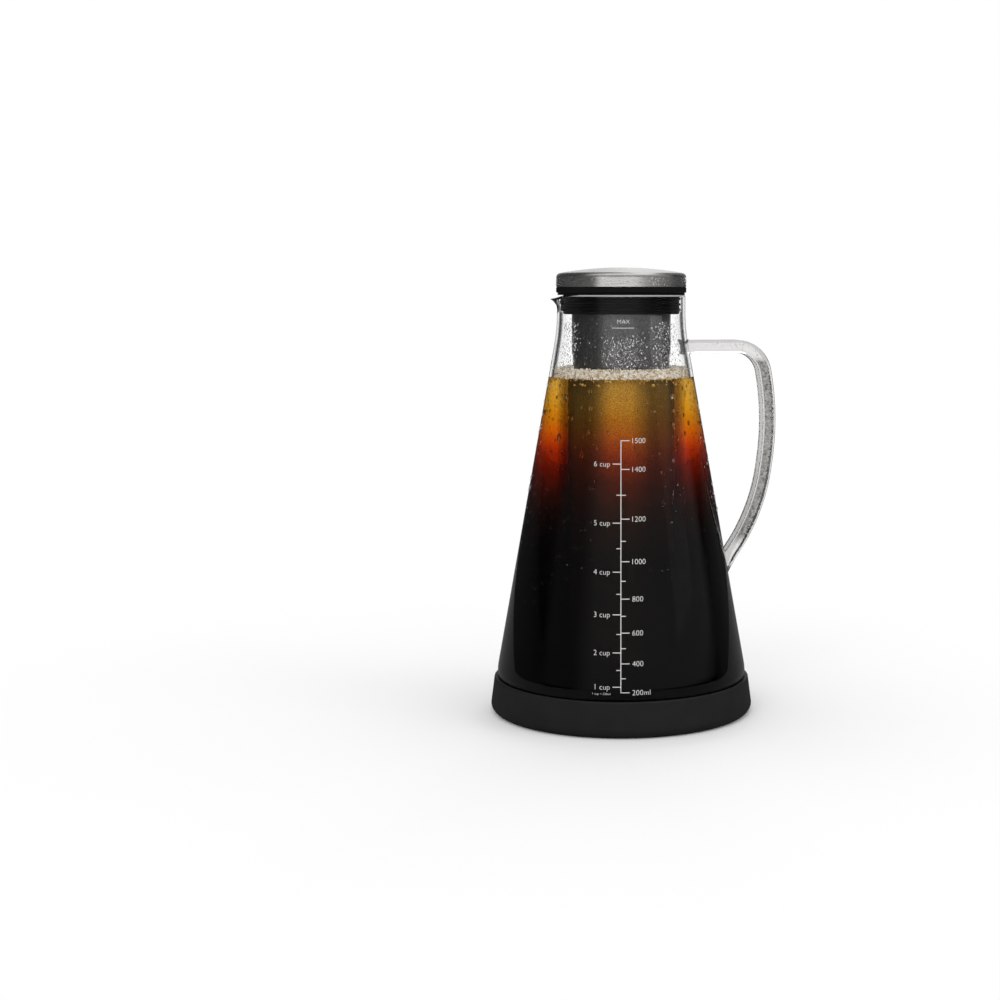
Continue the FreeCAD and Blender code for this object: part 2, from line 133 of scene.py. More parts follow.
class DrinkSizes(bpy.types.PropertyGroup):
    level: length("Level", "Height of the coffee's surface", 188.1 * MM)
    foam_top: length("Foam top", "Height of the top of the foam", 193.5 * MM)
    filter_radius: length("Filter radius", "Outside radius of the filter", 27.4 * MM)
    # The dense brew is a clear shell round the filter with painted brown shade at its edges, which darkens
    # the edges of the filter's column.
    plume_radius: length("Dense brew", "Radius of the dense brew round the filter", 33 * MM)
    wall_bubbles: count("Wall bubbles", "Bubbles against the glass", 4200)
    surface_bubbles: count("Surface bubbles", "Bubbles floating on the coffee", 3200)
    bubble_small: length("Smallest bubble", "Radius of the smallest bubble", 0.25 * MM)
    bubble_large: length("Largest bubble", "Radius of the largest bubble", 1.0 * MM)


class DewSizes(bpy.types.PropertyGroup):
    neck_mist: count("Neck mist", "Fine drops all round the neck", 620)
    patch_mist: count("Mist patch", "Drops in each dense patch on the neck", 640)
    cone_drops: count("Cone drops", "Drops on the upper cone", 560)
    large_drops: count("Large drops", "Drops on the upper cone that have run together", 50)
    body_mist: count("Body mist", "Fine drops over the dark of the drink", 380)
    low_drops: count("Low drops", "Drops on the lower cone", 170)
    lid_drops: count("Lid drops", "Drops on the lid", 420)
    handle_drops: count("Handle drops", "Drops on the handle", 110)
    mist: length("Mist", "Radius of the finest drop", 0.13 * MM)
    small: length("Small drop", "Radius of a small drop", 0.3 * MM)
    large: length("Large drop", "Radius of the largest drop", 1.5 * MM)
    print_clear: length("Clear of print", "Half width of the dry stretch round the scale", 13 * MM)


class ScaleSizes(bpy.types.PropertyGroup):
    bearing: angle("Bearing", "Direction that the printed scale faces", -102.15)
    ink: length("Ink", "Thickness of the print", 0.05 * MM)
    stroke: length("Stroke", "Width of the printed lines", 0.4 * MM)
    letter: length("Letter size", "Size of the numbers", 4.1 * MM)
    mark: StringProperty(name="Fill mark", description="Word over the fill line", default="MAX")


class Finishes(bpy.types.PropertyGroup):
    # Glass edge: painted dark shade where the glass is seen edge on, in place of the dark surroundings that
    # real glass bends in at its edges
    glass_edge: colour("Glass edge", "Tint of the glass seen edge on", (0.06, 0.065, 0.07))
    # Drop edge: painted dark shade where a drop is seen edge on.
    drop_edge: colour("Drop edge", "Tint of a drop seen edge on", (0.14, 0.13, 0.12))
    ink: colour("Ink", "Printed scale", (0.86, 0.86, 0.84))
    foam_light: colour("Light foam", "Pale bubbles", (1.0, 0.95, 0.85))
    foam_dark: colour("Dark foam", "Shaded bubbles", (0.60, 0.46, 0.29))
    # Dense brew: painted brown shade on the shell round the filter, where the shell is looked along.
    dense_brew: colour("Dense brew", "Brew round the filter seen edge on", (0.24, 0.19, 0.14))
    silicone: colour("Boot silicone", "Boot round the foot", (0.010, 0.010, 0.0105))
    seal: colour("Seal silicone", "Collar and gasket", (0.006, 0.006, 0.0062))
    lid_steel: colour("Lid steel", "Brushed cap", (0.84, 0.83, 0.81))
    filter_steel: colour("Filter steel", "Sleeve and cup of the filter", (0.17, 0.168, 0.165))
    # Stained cloth: partly a coffee stain, partly painted amber light in place of the light that the drink
    # tints on its way to the screen.
    cloth_steel: colour("Stained cloth", "Screen of the filter below the drink's surface", (1.0, 0.90, 0.68))
    plastic: colour("Plastic", "Core of the lid", (0.02, 0.02, 0.02))
    floor: colour("Floor", "Studio floor", (0.86, 0.86, 0.86))


class StudioSettings(bpy.types.PropertyGroup):
    bearing: angle("Bearing", "Camera direction round the jug", -12)
    distance: length("Distance", "Camera distance from the axis", 0.9645)
    height: length("Height", "Camera height over the table", 0.2334)
    tilt: angle("Tilt", "How far the camera looks down", 6.765)
    lens: FloatProperty(name="Lens", description="Focal length", default=62.156, unit="CAMERA")
    shift: setting("Shift", "Sideways shift of the picture", -0.1212)
    tent_turn: angle("Tent turn", "How far the light tent is turned", 9)
    tent_low: setting("Front panel", "Brightness of the panel in front of the jug", 2.2)
    tent_gap: setting("Gap", "Brightness between the panels and the ceiling", 0.2)
    tent_high: setting("Ceiling", "Brightness of the ceiling", 0.9)
    tent_backlight: setting("Backlight", "Brightness of the backdrop through glass", 1.3)
    tent_dusk: setting("Dusk", "Brightness overhead, seen through the glass", 0.6)
    ambient: setting("Ambient", "Brightness for matt surfaces", 0.75)


SETTINGS = {
    "brew_vessel": VesselSizes,
    "brew_handle": HandleSizes,
    "brew_drink": DrinkSizes,
    "brew_dew": DewSizes,
    "brew_scale": ScaleSizes,
    "brew_finish": Finishes,
    "brew_studio": StudioSettings,
}


# Outlines


def unit(way):
    return way / np.linalg.norm(way)


def rounded_path(corners, rounds, arc_steps):
    """Points along straight runs joined by tangent arcs, as an array of (across, up)."""
    corners = [np.array(c, float) for c in corners]
    points = [corners[0]]
    for i in range(1, len(corners) - 1):
        here = corners[i]
        back = unit(corners[i - 1] - here)
        ahead = unit(corners[i + 1] - here)
        if rounds[i] == 0:
            points.append(here)
            continue
        half = math.acos(np.clip(back @ ahead, -1, 1)) / 2
        bisector = unit(back + ahead)
        centre = here + bisector * rounds[i] / math.sin(half)
        start = here + back * rounds[i] / math.tan(half) - centre
        end = here + ahead * rounds[i] / math.tan(half) - centre
        first = math.atan2(start[1], start[0])
        turn = math.atan2(end[1], end[0]) - first
        turn = (turn + math.pi) % FULL_TURN - math.pi
        for k in range(arc_steps + 1):
            angle = first + turn * k / arc_steps
            points.append(centre + rounds[i] * np.array([math.cos(angle), math.sin(angle)]))
    points.append(corners[-1])
    return np.array(points)


def spaced(points, step):
    """The same path with no stretch between points longer than step."""
    out = [points[0]]
    for a, b in zip(points[:-1], points[1:]):
        pieces = max(1, math.ceil(np.linalg.norm(b - a) / step))
        for k in range(1, pieces + 1):
            out.append(a + (b - a) * k / pieces)
    return np.array(out)


def cone_angle(out, down, heel):
    """Lean of a wall from the vertical, tangent to the heel's arc."""
    return math.atan2(out, down) + math.asin(heel / math.hypot(out, down))


def wall_outline(vessel, inset):
    """The vessel's outline from the middle of its foot to its rim, set in by a wall."""
    out = vessel.belly_radius - vessel.heel_round - vessel.neck_radius
    outer_lean = cone_angle(out, vessel.shoulder - vessel.base - vessel.heel_round, vessel.heel_round)
    lift = vessel.floor if inset else 0
    base = vessel.base + lift
    neck = vessel.neck_radius - inset
    heel = vessel.heel_round - inset
    shoulder = vessel.shoulder - inset * math.tan(outer_lean / 2)
    foot = neck + (shoulder - base) * math.tan(cone_angle(out, shoulder - base - heel, heel))
    rounding = vessel.shoulder_run / math.tan(outer_lean / 2) + inset
    corners = [(0, base), (foot, base), (neck, shoulder), (neck, vessel.rim)]
    path = spaced(rounded_path(corners, [0, heel, rounding, 0], 24), 3 * MM)
    ball = (vessel.punt_radius ** 2 + vessel.punt_rise ** 2) / (2 * vessel.punt_rise)
    centre = vessel.base + vessel.punt_rise - ball
    low = path[:, 1] < base + heel / 2
    dome = centre + np.sqrt(np.maximum((ball + lift) ** 2 - path[:, 0] ** 2, 0))
    path[:, 1] = np.where(low, np.maximum(path[:, 1], dome), path[:, 1])
    return path


def radius_at(outline, heights):
    """The outline's radius at each height, over the wall."""
    widest = np.argmax(outline[:, 0])
    wall = outline[widest:]
    low = outline[:widest + 1]
    heel = low[low[:, 0] > 0.8 * low[:, 0].max()]
    whole = np.vstack([heel, wall[1:]])
    order = np.argsort(whole[:, 1], kind="stable")
    return np.interp(heights, whole[order, 1], whole[order, 0])


def slope_at(outline, heights):
    """How far the wall leans in per unit of height."""
    step = 0.5 * MM
    return (radius_at(outline, heights - step) - radius_at(outline, heights + step)) / (2 * step)


# Meshes


def mesh_object(name, skin, material, body, shadow=True):
    """A smooth piece of (vertices, faces) on a body, with its material."""
    vertices, faces = skin
    mesh = bpy.data.meshes.new(name)
    mesh.from_pydata([tuple(v) for v in vertices], [], [tuple(f) for f in faces])
    mesh.update()
    mesh.polygons.foreach_set("use_smooth", [True] * len(mesh.polygons))
    mesh.materials.append(material)
    piece = bpy.data.objects.new(name, mesh)
    piece.visible_shadow = shadow
    bpy.context.scene.collection.objects.link(piece)
    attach(piece, body)
    return piece


def bearings(segments):
    return np.arange(segments) * FULL_TURN / segments


def ring_points(radii, heights, segments):
    """Points of level rings, each with one radius or a radius for every bearing."""
    turn = bearings(segments)
    radii = np.broadcast_to(np.reshape(radii, (len(heights), -1)), (len(heights), segments))
    heights = np.broadcast_to(np.reshape(heights, (-1, 1)), radii.shape)
    return np.stack([radii * np.cos(turn), radii * np.sin(turn), heights], axis=-1).reshape(-1, 3)


def ring_faces(rows, segments, closed=False):
    """Faces between one ring of points and the next, and from the last to the first if closed."""
    faces = []
    for i in range(rows if closed else rows - 1):
        a, b = i * segments, (i + 1) % rows * segments
        for k in range(segments):
            n = (k + 1) % segments
            faces.append((a + k, a + n, b + n, b + k))
    return faces


def turned(outline, segments):
    """Vertices and faces of a closed form turned about Z; the outline starts and ends on the axis."""
    ring = outline[1:-1]
    rows = len(ring)
    ends = [[0, 0, outline[0, 1]], [0, 0, outline[-1, 1]]]
    vertices = np.vstack([ring_points(ring[:, 0], ring[:, 1], segments), ends])
    first, top = rows * segments, (rows - 1) * segments
    faces = []
    for k in range(segments):
        n = (k + 1) % segments
        faces += [(first, n, k), (first + 1, top + k, top + n)]
    return vertices, faces + ring_faces(rows, segments)


def hooped(outline, segments):
    """Vertices and faces of a closed ring whose section is the outline, turned about Z."""
    return ring_points(outline[:, 0], outline[:, 1], segments), ring_faces(len(outline), segments, True)


def pulled_lip(vertices, vessel):
    """Pulls the pouring lip out of the neck and lets the rim dip towards it."""
    out = vertices.copy()
    angle = np.arctan2(vertices[:, 1], vertices[:, 0])
    off = np.abs((angle - LIP_DIRECTION + math.pi) % FULL_TURN - math.pi)
    rise = np.clip((vertices[:, 2] - (vessel.rim - vessel.lip_depth)) / vessel.lip_depth, 0, 1)
    spread = vessel.lip_spread * (0.5 + 0.5 * rise)
    weight = np.where(off < spread, np.cos(off / spread * math.pi / 2) ** 2, 0)
    push = vessel.lip_reach * rise ** 1.5 * weight
    radius = np.hypot(vertices[:, 0], vertices[:, 1])
    scale = (radius + push) / np.maximum(radius, 1e-9)
    out[:, 0] *= scale
    out[:, 1] *= scale
    fall = np.maximum(-out[:, 0] - vessel.dip_start, 0) * vessel.dip_slope
    out[:, 2] -= fall * rise ** 2
    return out


RIM_STEPS = 6


def vessel_mesh(vessel):
    """The blown vessel: outside, rounded rim and inside in one closed skin."""
    edge = vessel.rim - vessel.rim_round
    turn = np.linspace(0, math.pi / 2, RIM_STEPS + 1)[1:]
    sides = []
    for inset, inward in ((0.0, -1), (vessel.wall, 1)):
        wall = wall_outline(vessel, inset)
        wall = wall[wall[:, 1] < edge - 0.2 * MM]
        radius = vessel.neck_radius - inset
        fine = spaced(np.array([wall[-1], [radius, edge]]), 0.5 * MM)[1:]
        bead = np.stack([radius + inward * vessel.rim_round * (1 - np.cos(turn)),
                         edge + vessel.rim_round * np.sin(turn)], axis=1)
        sides.append(np.vstack([wall, fine, bead]))
    outside, inside = sides
    vertices, faces = turned(np.vstack([outside, inside[::-1]]), vessel.segments)
    bore_start = (len(outside) + RIM_STEPS - 1) * vessel.segments
    return pulled_lip(vertices, vessel), faces, bore_start


def bar_ring(handle):
    """Corner-rounded section of the bar as (across thickness, across width)."""
    a, b = handle.thickness / 2, handle.width / 2
    corners = [(0, -b), (a, -b), (a, b), (-a, b), (-a, -b), (0, -b)]
    path = rounded_path(corners, [0] + [handle.corner] * 4 + [0], 8)
    return spaced(path, 0.6 * MM)[:-1]


def landing(point, direction, outline, depth):
    """How far to go along a direction to reach a set depth in the vessel's wall."""
    reach = 0.0
    for _ in range(40):
        here = point + direction * reach
        gap = math.hypot(here[0], here[1]) - (float(radius_at(outline, here[2])) - depth)
        reach += 0.8 * gap
    return reach


def handle_line(handle, vessel):
    """The bar's middle line where it runs clear of the vessel, as (out, up) points."""
    slant = handle.foot_angle
    heel = np.array([handle.heel_out, handle.heel_height])
    foot = heel - np.array([math.sin(slant), math.cos(slant)]) * handle.heel_out
    corners = [(0, handle.top), (handle.bend_out, handle.top), (handle.grip_out, handle.grip_height),
               heel, foot]
    rounds = [0, handle.bend_round, handle.grip_round, handle.heel_round, 0]
    line = spaced(rounded_path(corners, rounds, 40), 1.5 * MM)
    clear = line[:, 0] - radius_at(wall_outline(vessel, 0.0), line[:, 1])
    free = np.where(clear > handle.weld_length * 0.8)[0]
    return line[free[0]:free[-1] + 1]


def headings(line):
    """The direction of a line at each of its points."""
    along = np.gradient(line, axis=0)
    return along / np.linalg.norm(along, axis=1)[:, None]


def handle_mesh(handle, vessel):
    """The bent bar, flared where it is melted onto the wall and ending inside it."""
    line = handle_line(handle, vessel)
    outline = wall_outline(vessel, 0.0)
    section = bar_ring(handle)
    rings = []
    along = headings(line)
    for point, way in zip(line, along):
        side = np.array([way[1], -way[0]])
        rings.append([np.array([point[0] + side[0] * s, w, point[1] + side[1] * s]) for s, w in section])
    depth = vessel.wall * 0.45
    flare = 1 + handle.weld_flare
    steps = 12
    ends = []
    for which, sign in ((0, -1), (-1, 1)):
        point, way = line[which], along[which] * sign
        centre = np.array([point[0], 0, point[1]])
        go = np.array([way[0], 0, way[1]])
        offsets = [v - centre for v in rings[which]]
        reaches = [landing(centre + o * flare, go, outline, depth) for o in offsets]
        ends.append([[centre + go * (t * k / steps) + o * (1 + handle.weld_flare * (k / steps) ** 3)
                      for o, t in zip(offsets, reaches)] for k in range(1, steps + 1)])
    rings = ends[0][::-1] + rings + ends[1]
    size = len(section)
    vertices = [v for ring in rings for v in ring]
    faces = [(a, d, c, b) for a, b, c, d in ring_faces(len(rings), size)]
    last = (len(rings) - 1) * size
    faces += [tuple(range(size)), tuple(last + k for k in reversed(range(size)))]
    across = [0.5 + s / handle.thickness for s, _ in section] * len(rings)
    return np.array(vertices), faces, across


def welded(base, other):
    """Melts another piece into the base piece, which keeps the finishes of both."""
    weld = base.modifiers.new("weld", "BOOLEAN")
    weld.operation = "UNION"
    weld.solver = "EXACT"
    weld.material_mode = "TRANSFER"
    weld.object = other
    graph = bpy.context.evaluated_depsgraph_get()
    mesh = bpy.data.meshes.new_from_object(base.evaluated_get(graph))
    base.modifiers.clear()
    base.data = mesh
    mesh.polygons.foreach_set("use_smooth", [True] * len(mesh.polygons))
    bpy.data.objects.remove(other)
    return base


def bead_pattern(rings, segments, whole):
    """A closed ball, or half a ball lying on its flat side, of radius 1."""
    reach = math.pi if whole else math.pi / 2
    last_ring = rings - 1 if whole else rings
    vertices = [(0, 0, 1)]
    for i in range(1, last_ring + 1):
        lean = reach * i / rings
        for k in range(segments):
            turn = FULL_TURN * k / segments
            out = math.sin(lean)
            vertices.append((out * math.cos(turn), out * math.sin(turn), math.cos(lean)))
    vertices.append((0, 0, -1 if whole else 0))
    end = len(vertices) - 1
    faces = []
    for k in range(segments):
        n = (k + 1) % segments
        faces.append((0, 1 + k, 1 + n))
        for i in range(last_ring - 1):
            a, b = 1 + i * segments, 1 + (i + 1) * segments
            faces.append((a + k, b + k, b + n, a + n))
        low = 1 + (last_ring - 1) * segments
        faces.append((end, low + n, low + k))
    return np.array(vertices), faces


def scattered(pattern, frames):
    """One mesh of the pattern repeated with each (place, three axes) frame."""
    vertices, faces = pattern
    all_vertices, all_faces = [], []
    for n, (place, axes) in enumerate(frames):
        all_vertices.append(place + vertices @ axes)
        base = n * len(vertices)
        all_faces += [tuple(base + i for i in f) for f in faces]
    return np.vstack(all_vertices), all_faces


def spread_out(points, gaps):
    """The points that keep clear of every earlier one, by the gap round each."""
    kept = []
    cell = float(np.max(gaps)) * 2
    grid = {}
    for i, (point, gap) in enumerate(zip(points, gaps)):
        home = tuple(int(math.floor(c / cell)) for c in point)
        near = [k for x in (-1, 0, 1) for y in (-1, 0, 1) for z in (-1, 0, 1)
                for k in grid.get((home[0] + x, home[1] + y, home[2] + z), ())]
        if all(np.linalg.norm(points[k] - point) > gap + gaps[k] for k in near):
            kept.append(i)
            grid.setdefault(home, []).append(i)
    return kept


def axes_on(normal, grain):
    """Rows along the grain of a surface, across it and out of it."""
    out = unit(normal)
    along = unit(grain - out * (grain @ out))
    return np.array([along, np.cross(out, along), out])


# Finishes


CLEAR = (0.99, 0.99, 0.99)
GLASS_BENDING = 1.47


def feed(tree, socket, value):
    """Links a socket to another one, or sets a plain value on it."""
    if isinstance(value, bpy.types.NodeSocket):
        tree.links.new(value, socket)
    elif socket.type == "RGBA":
        socket.default_value = (*value[:3], 1.0)
    else:
        socket.default_value = value


def added(tree, kind, output, inputs, **settings):
    """The named output of a new node that has these inputs."""
    node = tree.nodes.new("ShaderNode" + kind)
    for name, value in settings.items():
        setattr(node, name, value)
    for name, value in inputs.items():
        feed(tree, node.inputs[name], value)
    return node.outputs[output]


def figure(tree, operation, *values):
    """A sum, product or comparison."""
    return added(tree, "Math", "Value", dict(enumerate(values)), operation=operation)


def spanned(tree, value, low, high, before=0.0, after=1.0, **settings):
    """A value that goes over from before to after while another goes from low to high."""
    ends = {"Value": value, "From Min": low, "From Max": high, "To Min": before, "To Max": after}
    return added(tree, "MapRange", "Result", ends, **settings)


def mixed(tree, factor, first, second, data_type="RGBA", blend_type="MIX"):
    """A colour or a value between two."""
    layers = {"Factor": factor, "A": first, "B": second}
    return added(tree, "Mix", "Result", layers, data_type=data_type, blend_type=blend_type)


def ramp(tree, place, stops):
    """A colour that follows (place, colour) stops, or grey through (place, level) stops."""
    shade = added(tree, "ValToRGB", "Color", {"Fac": place})
    band = shade.node.color_ramp
    while len(band.elements) < len(stops):
        band.elements.new(0.5)
    for element, (at, tone) in zip(band.elements, stops):
        element.position = at
        element.color = (tone, tone, tone, 1.0) if isinstance(tone, float) else (*tone[:3], 1.0)
    return shade


def own_place(tree):
    """Where a point lies on its piece."""
    return added(tree, "TexCoord", "Object", {})


def own_height(tree):
    """How high a point lies on its piece."""
    return added(tree, "SeparateXYZ", "Z", {"Vector": own_place(tree)})


def height_step(tree, low, high, before, after):
    """A value that goes over from before to after between two heights of the piece."""
    return spanned(tree, own_height(tree), low, high, before, after)


def edge_shade(tree, stops):
    """A painted shade: a colour by how far the surface turns away from the eye."""
    return ramp(tree, added(tree, "LayerWeight", "Facing", {"Blend": 0.5}), stops)


def grain(tree, scale, detail, stretch=(1, 1, 1)):
    """Noise over the piece's own coordinates, stretched along its axes."""
    where = added(tree, "Mapping", "Vector", {"Vector": own_place(tree), "Scale": stretch})
    return added(tree, "TexNoise", "Fac", {"Vector": where, "Scale": scale, "Detail": detail})


def bumped(tree, height, strength, distance):
    """A surface raised and sunk by a height."""
    return added(tree, "Bump", "Normal", {"Height": height, "Strength": strength, "Distance": distance})


def unbounced(tree, path):
    """1 for a ray that has met nothing but glass on its way, 0 for any other."""
    return figure(tree, "LESS_THAN", figure(tree, "ADD", path["Glossy Depth"], path["Diffuse Depth"]), 0.5)


def new_finish(name):
    """A material and its node tree."""
    material = bpy.data.materials.new(name)
    material.use_nodes = True
    return material, material.node_tree


def finished(material, sockets):
    """The material, once its main shader is fed."""
    tree = material.node_tree
    for name, value in sockets.items():
        feed(tree, tree.nodes["Principled BSDF"].inputs[name], value)
    return material


def see_through(material, shade, bending, roughness, clearness=1.0, **more):
    """The material as a clear one."""
    return finished(material, {"Base Color": shade, "IOR": bending, "Roughness": roughness,
                               "Transmission Weight": clearness, **more})


def clear_glass(rim):
    """Borosilicate glass; the band at its fire-polished rim is rough and partly matt white, a painted
    highlight along the rim.
    """
    material, tree = new_finish("borosilicate_glass")
    # Painted highlight: the rim band is rough and only 60% clear, so its matt white share shows as a pale
    # line.
    rim_highlight_band = (rim - 1 * MM, rim - 0.6 * MM)
    return see_through(material, CLEAR, GLASS_BENDING, height_step(tree, *rim_highlight_band, 0.01, 0.55),
                       height_step(tree, *rim_highlight_band, 1.0, 0.6))


def bore_glass(edge, fill, lip):
    """The glass's inner skin, with a painted dark shade edge on where no drink lies against it."""
    material, tree = new_finish("bore_glass")
    # Painted shade: the inner skin darkens where it is seen edge on, only above the drink and below the lip.
    tint = edge_shade(tree, [(0.0, CLEAR), (0.70, CLEAR), (0.80, edge), (1.0, edge)])
    empty = figure(tree, "MULTIPLY", height_step(tree, fill - 4 * MM, fill + 6 * MM, 0.0, 1.0),
                   height_step(tree, lip - 2 * MM, lip, 1.0, 0.0))
    return see_through(material, mixed(tree, empty, CLEAR, tint), GLASS_BENDING, 0.01)


def bar_glass(edge, strip_low, strip_high):
    """The handle's thick glass: seedy, with painted grey shade edge on, and a dark band along its inner side.
    """
    material, tree = new_finish("handle_glass")
    body = (0.60, 0.59, 0.58)
    middle = [0.5 * (0.6 + c) for c in edge]
    # Painted shade: the bar goes grey towards its edges as it is seen edge on.
    tint = edge_shade(tree, [(0.0, body), (0.6, body), (0.85, middle), (0.97, edge)])
    seeds = grain(tree, 700, 3)
    speckle = ramp(tree, seeds, [(0.32, (0.012, 0.011, 0.010)), (0.68, (0.15, 0.147, 0.144))])
    across = added(tree, "SeparateXYZ", "X", {"Vector": added(tree, "UVMap", "UV", {}, uv_map=BAR_MAP)})
    band = ramp(tree, across, [(0.30, 0.0), (0.36, 1.0), (0.90, 1.0), (0.96, 0.0)])
    ends = figure(tree, "MULTIPLY", height_step(tree, strip_low, strip_low + 6 * MM, 0.0, 1.0),
                  height_step(tree, strip_high - 3 * MM, strip_high, 1.0, 0.0))
    shade = mixed(tree, figure(tree, "MULTIPLY", band, ends), tint, speckle)
    return see_through(material, shade, GLASS_BENDING, 0.06, Normal=bumped(tree, seeds, 0.25, 0.0004))


def water(name, clearness, bending, rim):
    """Condensed water with a painted dark shade round the edge of each drop."""
    material, tree = new_finish(name)
    return see_through(material, edge_shade(tree, [(0.3, 1.0), (0.9, rim)]), bending, 0.0, clearness)


COFFEE_SHADES = (
    (0.000, (0.0003, 0.0002, 0.0002)),
    (0.500, (0.0008, 0.0005, 0.0004)),
    (0.580, (0.005, 0.0012, 0.0006)),
    (0.640, (0.022, 0.0023, 0.0006)),
    (0.700, (0.080, 0.0036, 0.0004)),
    (0.760, (0.250, 0.012, 0.0005)),
    (0.790, (0.390, 0.031, 0.0007)),
    (0.820, (0.520, 0.079, 0.001)),
    (0.875, (0.550, 0.180, 0.002)),
    (0.910, (0.630, 0.280, 0.012)),
    (0.965, (0.640, 0.340, 0.040)),
    (1.000, (0.640, 0.360, 0.055)),
)


def coffee(level):
    """Brewing coffee, clear amber at the top and black below."""
    material, tree = new_finish("brewing_coffee")
    swirl = 0.03
    place = figure(tree, "MULTIPLY_ADD", grain(tree, 14, 3, (1.0, 1.0, 0.35)), swirl, own_height(tree))
    shade = ramp(tree, spanned(tree, place, swirl / 2, level + swirl / 2), COFFEE_SHADES)
    return see_through(material, shade, 1.1, 0.02)


def brown_haze(shade):
    """Painted shade round the filter: clear face on, brown where it is looked along."""
    material, tree = new_finish("dense_brew")
    tint = edge_shade(tree, [(0.0, 1.0), (0.28, 1.0), (0.42, shade), (0.5, shade), (0.88, 1.0)])
    return see_through(material, tint, 1.001, 0.0)


def froth(light, dark):
    """Pale, wet coffee foam."""
    material, tree = new_finish("coffee_foam")
    shade = ramp(tree, grain(tree, 620, 2), [(0.40, dark), (0.53, light)])
    return see_through(material, shade, 1.2, 0.15, 0.1)


def printed_ink(tone):
    """Fired white ink with a slightly uneven cover."""
    material, tree = new_finish("fired_white_ink")
    worn = [0.86 * c for c in tone]
    shade = ramp(tree, grain(tree, 1500, 2), [(0.35, worn), (0.6, tone)])
    return finished(material, {"Roughness": 0.5, "Base Color": shade})


def brushed_steel(name, tone, stretch, roughness, turning):
    """Steel brushed round its axis."""
    material, tree = new_finish(name)
    lines = grain(tree, 60, 4, stretch)
    dark = [0.86 * c for c in tone]
    return finished(material, {
        "Metallic": 1.0,
        "Anisotropic": turning,
        "Anisotropic Rotation": 0.25,
        "Tangent": added(tree, "Tangent", "Tangent", {}, direction_type="RADIAL", axis="Z"),
        "Base Color": ramp(tree, lines, [(0.3, dark), (0.7, tone)]),
        "Roughness": spanned(tree, lines, 0.0, 1.0, roughness * 0.7, roughness * 1.3),
        "Normal": bumped(tree, lines, 0.05, 0.0002),
    })


# Painted shade on the wet cloth: its brightness from where it faces the eye to where it turns away
ROUND_PAINTED_SHADE = ((0.0, 1.0), (0.02, 1.0), (0.05, 0.8), (0.10, 0.6), (0.16, 0.38), (0.25, 0.32), (0.56, 0.32),
              (1.0, 0.2))


def woven_steel(name, tone, wet_tone, wet_height):
    """Fine steel screen cloth: a weave of tiny wires in the shading; below the drink a coffee tone that is
    partly stain and partly painted amber light, darkened by painted shade where it turns from the eye.
    """
    material, tree = new_finish(name)
    weave = added(tree, "TexVoronoi", "Distance", {"Vector": own_place(tree), "Scale": 1400})
    # Below the drink the cloth takes that tone: partly stain, partly painted amber light.
    wet, plain = [ramp(tree, weave, [(0.1, [0.35 * c for c in steel]), (0.55, steel)])
                  for steel in (wet_tone, tone)]
    # Painted shade: the cloth below the drink darkens as it turns from the eye.
    stain_and_painted_shade = mixed(tree, 1.0, wet, edge_shade(tree, ROUND_PAINTED_SHADE), blend_type="MULTIPLY")
    tide = (wet_height - 4 * MM, wet_height + 2 * MM)
    return finished(material, {
        "Roughness": 0.38,
        "Metallic": height_step(tree, *tide, 0.75, 1.0),
        "Base Color": mixed(tree, height_step(tree, *tide, 0.0, 1.0), stain_and_painted_shade, plain),
        "Normal": bumped(tree, weave, 0.08, 0.0003),
    })


def matt_rubber(name, tone, roughness, shine, tooth):
    """Moulded silicone or plastic with a fine grain."""
    material, tree = new_finish(name)
    light = [min(1.0, 1.25 * c) for c in tone]
    return finished(material, {
        "Roughness": roughness,
        "Specular IOR Level": shine,
        "Base Color": ramp(tree, grain(tree, 70, 3), [(0.35, tone), (0.7, light)]),
        "Normal": bumped(tree, grain(tree, 4500, 2), tooth, 0.00005),
    })


def dress(node_names, material):
    """Puts a finish on parts of the frame."""
    for name in node_names:
        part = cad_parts[name]
        part.data.materials.clear()
        part.data.materials.append(material)


# Pieces


class BREW_OT_carafe(bpy.types.Operator):
    """Blow the carafe and give its inner skin a finish of its own"""
    bl_idname = "brew.carafe"
    bl_label = "Glass carafe"

    def execute(self, context):
        vessel = context.scene.brew_vessel
        edge = context.scene.brew_finish.glass_edge
        vertices, faces, bore_start = vessel_mesh(vessel)
        body = mesh_object("glass_carafe", (vertices, faces), clear_glass(vessel.rim), "carafe")
        body.data.materials.append(bore_glass(edge, context.scene.brew_drink.level,
                                              vessel.rim - vessel.lip_depth))
        for skin in body.data.polygons:
            skin.material_index = int(min(skin.vertices) >= bore_start)
        return {"FINISHED"}


class BREW_OT_handle(bpy.types.Operator):
    """Bend the handle's glass bar and melt its ends onto the carafe"""
    bl_idname = "brew.handle"
    bl_label = "Glass handle"

    def execute(self, context):
        handle = context.scene.brew_handle
        vertices, faces, across = handle_mesh(handle, context.scene.brew_vessel)
        glass = bar_glass(context.scene.brew_finish.glass_edge, handle.strip_low, handle.strip_high)
        bar = mesh_object("glass_bar", (vertices, faces), glass, "carafe")
        layer = bar.data.uv_layers.new(name=BAR_MAP)
        for loop in bar.data.loops:
            layer.data[loop.index].uv = (across[loop.vertex_index], 0.5)
        body = welded(bpy.data.objects["glass_carafe"], bar)
        body.data.set_sharp_from_angle(angle=math.radians(50))
        body.visible_shadow = False
        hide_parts("carafe_glass", "carafe_handle")
        return {"FINISHED"}


